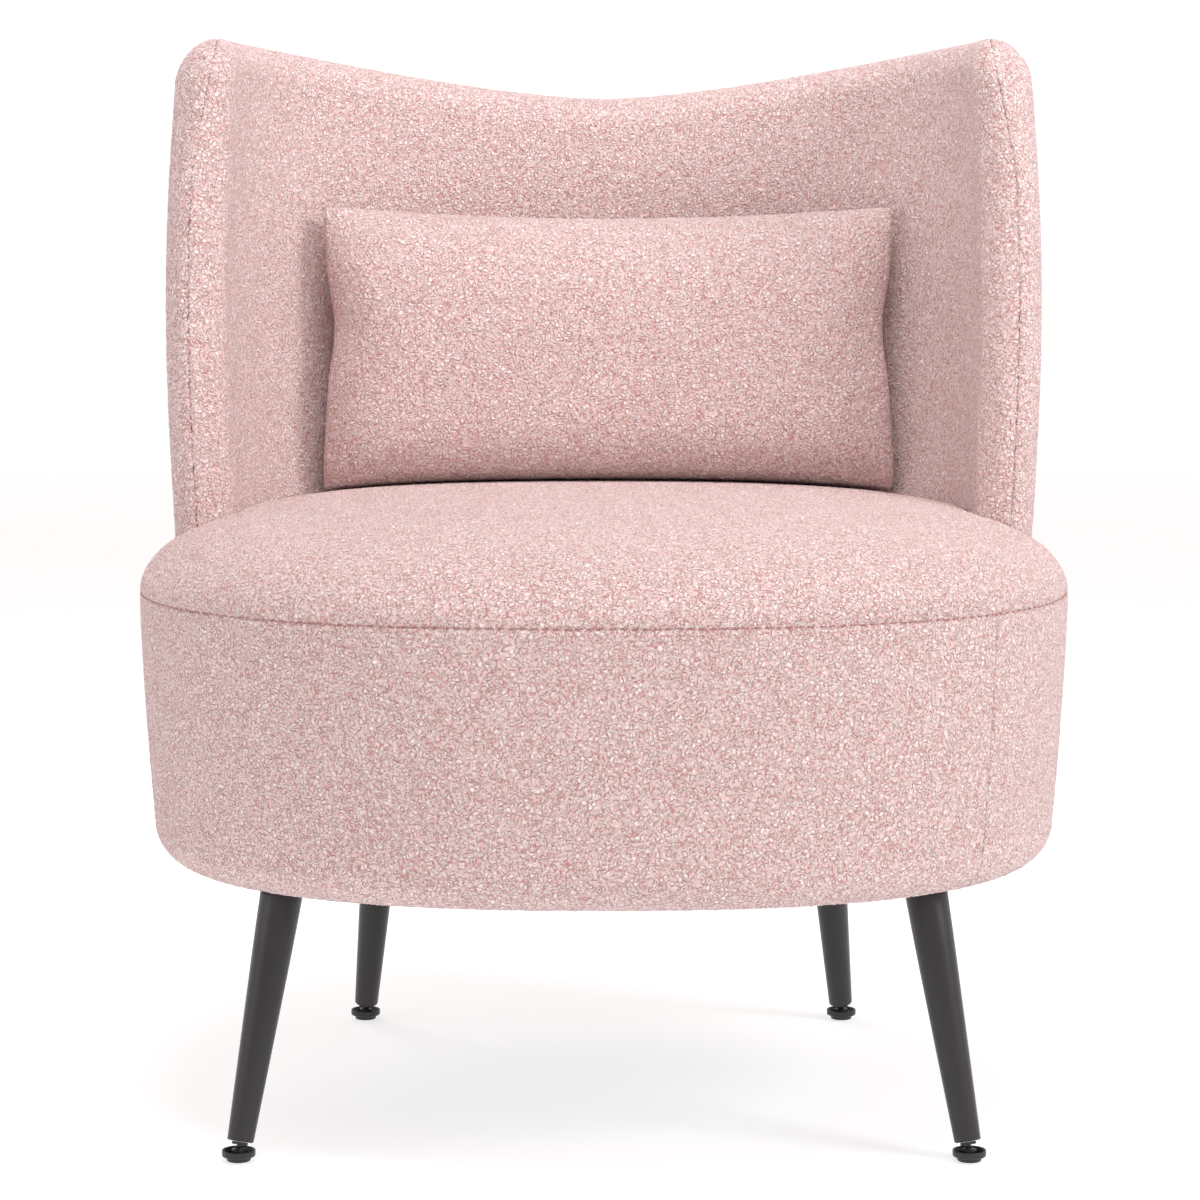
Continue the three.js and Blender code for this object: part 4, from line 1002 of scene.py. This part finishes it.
slots = {part["node"]: part["material_slot"] for part in frame["record"]["subparts"]}
for node, piece in frame["nodes"].items():
    piece.data.materials.clear()
    piece.data.materials.append(SLOT_FINISH[slots[node]])


# ---------------------------------------------------------------- the studio
FLOOR_FLAT = 7.6
FLOOR_SWEEP = 1.4
FLOOR_HIGH = 5.5
FLOOR_SIDES = 96
FLOOR_DROP = 0.0005  # keeps the floor just under the glides
FLOOR_GLOW = 0.68
CAMERA_PLACE = (-0.003, -2.9323, 0.7261)
CAMERA_TILT = 6.49  # degrees below level
CAMERA_LENS, CAMERA_SENSOR = 111.0, 36.0
AIR_COLOUR = (1.0, 0.50, 0.46, 1)
AIR_STRENGTH = 0.22


def white_finish(name, colour, glow):
    """A matt white that glows, so that it stays pale at any distance from the lights."""
    finish, shader, add = new_finish(name)
    place = add("ShaderNodeTexCoord").outputs["Object"]
    grain = add("ShaderNodeTexNoise", {"Vector": place}, Scale=3.0, Detail=2.0)
    tint = ramp(add, grain.outputs["Fac"], [(0.3, tuple(c * 0.995 for c in colour)), (0.7, colour)])
    link(finish, tint, shader, "Base Color")
    shader.inputs["Roughness"].default_value = 0.9
    shader.inputs["Emission Color"].default_value = (1, 1, 1, 1)
    shader.inputs["Emission Strength"].default_value = glow
    return finish


def floor_piece():
    """A pale round floor that sweeps up all round the chair: flat, then a quarter circle, then upright."""
    turn = np.linspace(0, np.pi / 2, 17)
    r = np.concatenate([[0.5, 2.0, 4.0], FLOOR_FLAT + FLOOR_SWEEP * np.sin(turn), [FLOOR_FLAT + FLOOR_SWEEP]])
    z = np.concatenate([[0.0, 0.0, 0.0], FLOOR_SWEEP * (1 - np.cos(turn)), [FLOOR_HIGH]]) - FLOOR_DROP
    grid = lathe_rows(np.stack([r, z], -1), FLOOR_SIDES)
    ring = np.arange(FLOOR_SIDES)
    centre = np.stack([ring, np.roll(ring, -1), np.full(FLOOR_SIDES, len(r) * FLOOR_SIDES)], -1)
    verts = np.concatenate([grid.reshape(-1, 3), [[0, 0, -FLOOR_DROP]]])
    sweep = make_mesh("studio_floor", verts, [grid_quads(len(r), FLOOR_SIDES, wrap=True), centre])
    sweep.data.materials.append(white_finish("studio_white", (0.5, 0.5, 0.5), FLOOR_GLOW))


def soft_light(name, place, aim, size, power):
    """A round white light of a size in metres and a power in watts, turned to face its aim."""
    lamp = bpy.data.lights.new(name, "AREA")
    lamp.shape, lamp.size, lamp.energy = "DISK", size, power
    source = bpy.data.objects.new(name, lamp)
    source.location = place
    direction = np.array(aim) - np.array(place)
    tilt = math.atan2(math.hypot(direction[0], direction[1]), -direction[2])
    heading = math.atan2(direction[1], direction[0]) - math.pi / 2
    source.rotation_euler = (tilt, 0, heading)
    bpy.context.scene.collection.objects.link(source)


floor_piece()
soft_light("key", (2.5, -1.3, 2.1), (0, 0, 0.4), 1.2, 46)
soft_light("top", (0.1, -0.5, 2.9), (0, 0.1, 0.4), 1.4, 48)
soft_light("fill", (-2.6, -1.2, 1.5), (0, 0, 0.4), 1.8, 8)
soft_light("rear", (-1.2, 1.6, 2.2), (0, 0.2, 0.5), 1.2, 12)
world = bpy.data.worlds.new("studio_air")
world.use_nodes = True
world.node_tree.nodes["Background"].inputs["Color"].default_value = AIR_COLOUR
world.node_tree.nodes["Background"].inputs["Strength"].default_value = AIR_STRENGTH
bpy.context.scene.world = world

camera = bpy.data.cameras.new("camera")
camera.lens, camera.sensor_width = CAMERA_LENS, CAMERA_SENSOR
viewer = bpy.data.objects.new("camera", camera)
viewer.location = CAMERA_PLACE
viewer.rotation_euler = (math.radians(90 - CAMERA_TILT), 0, 0)
bpy.context.scene.collection.objects.link(viewer)
bpy.context.scene.camera = viewer
bpy.context.scene.view_settings.view_transform = "Standard"
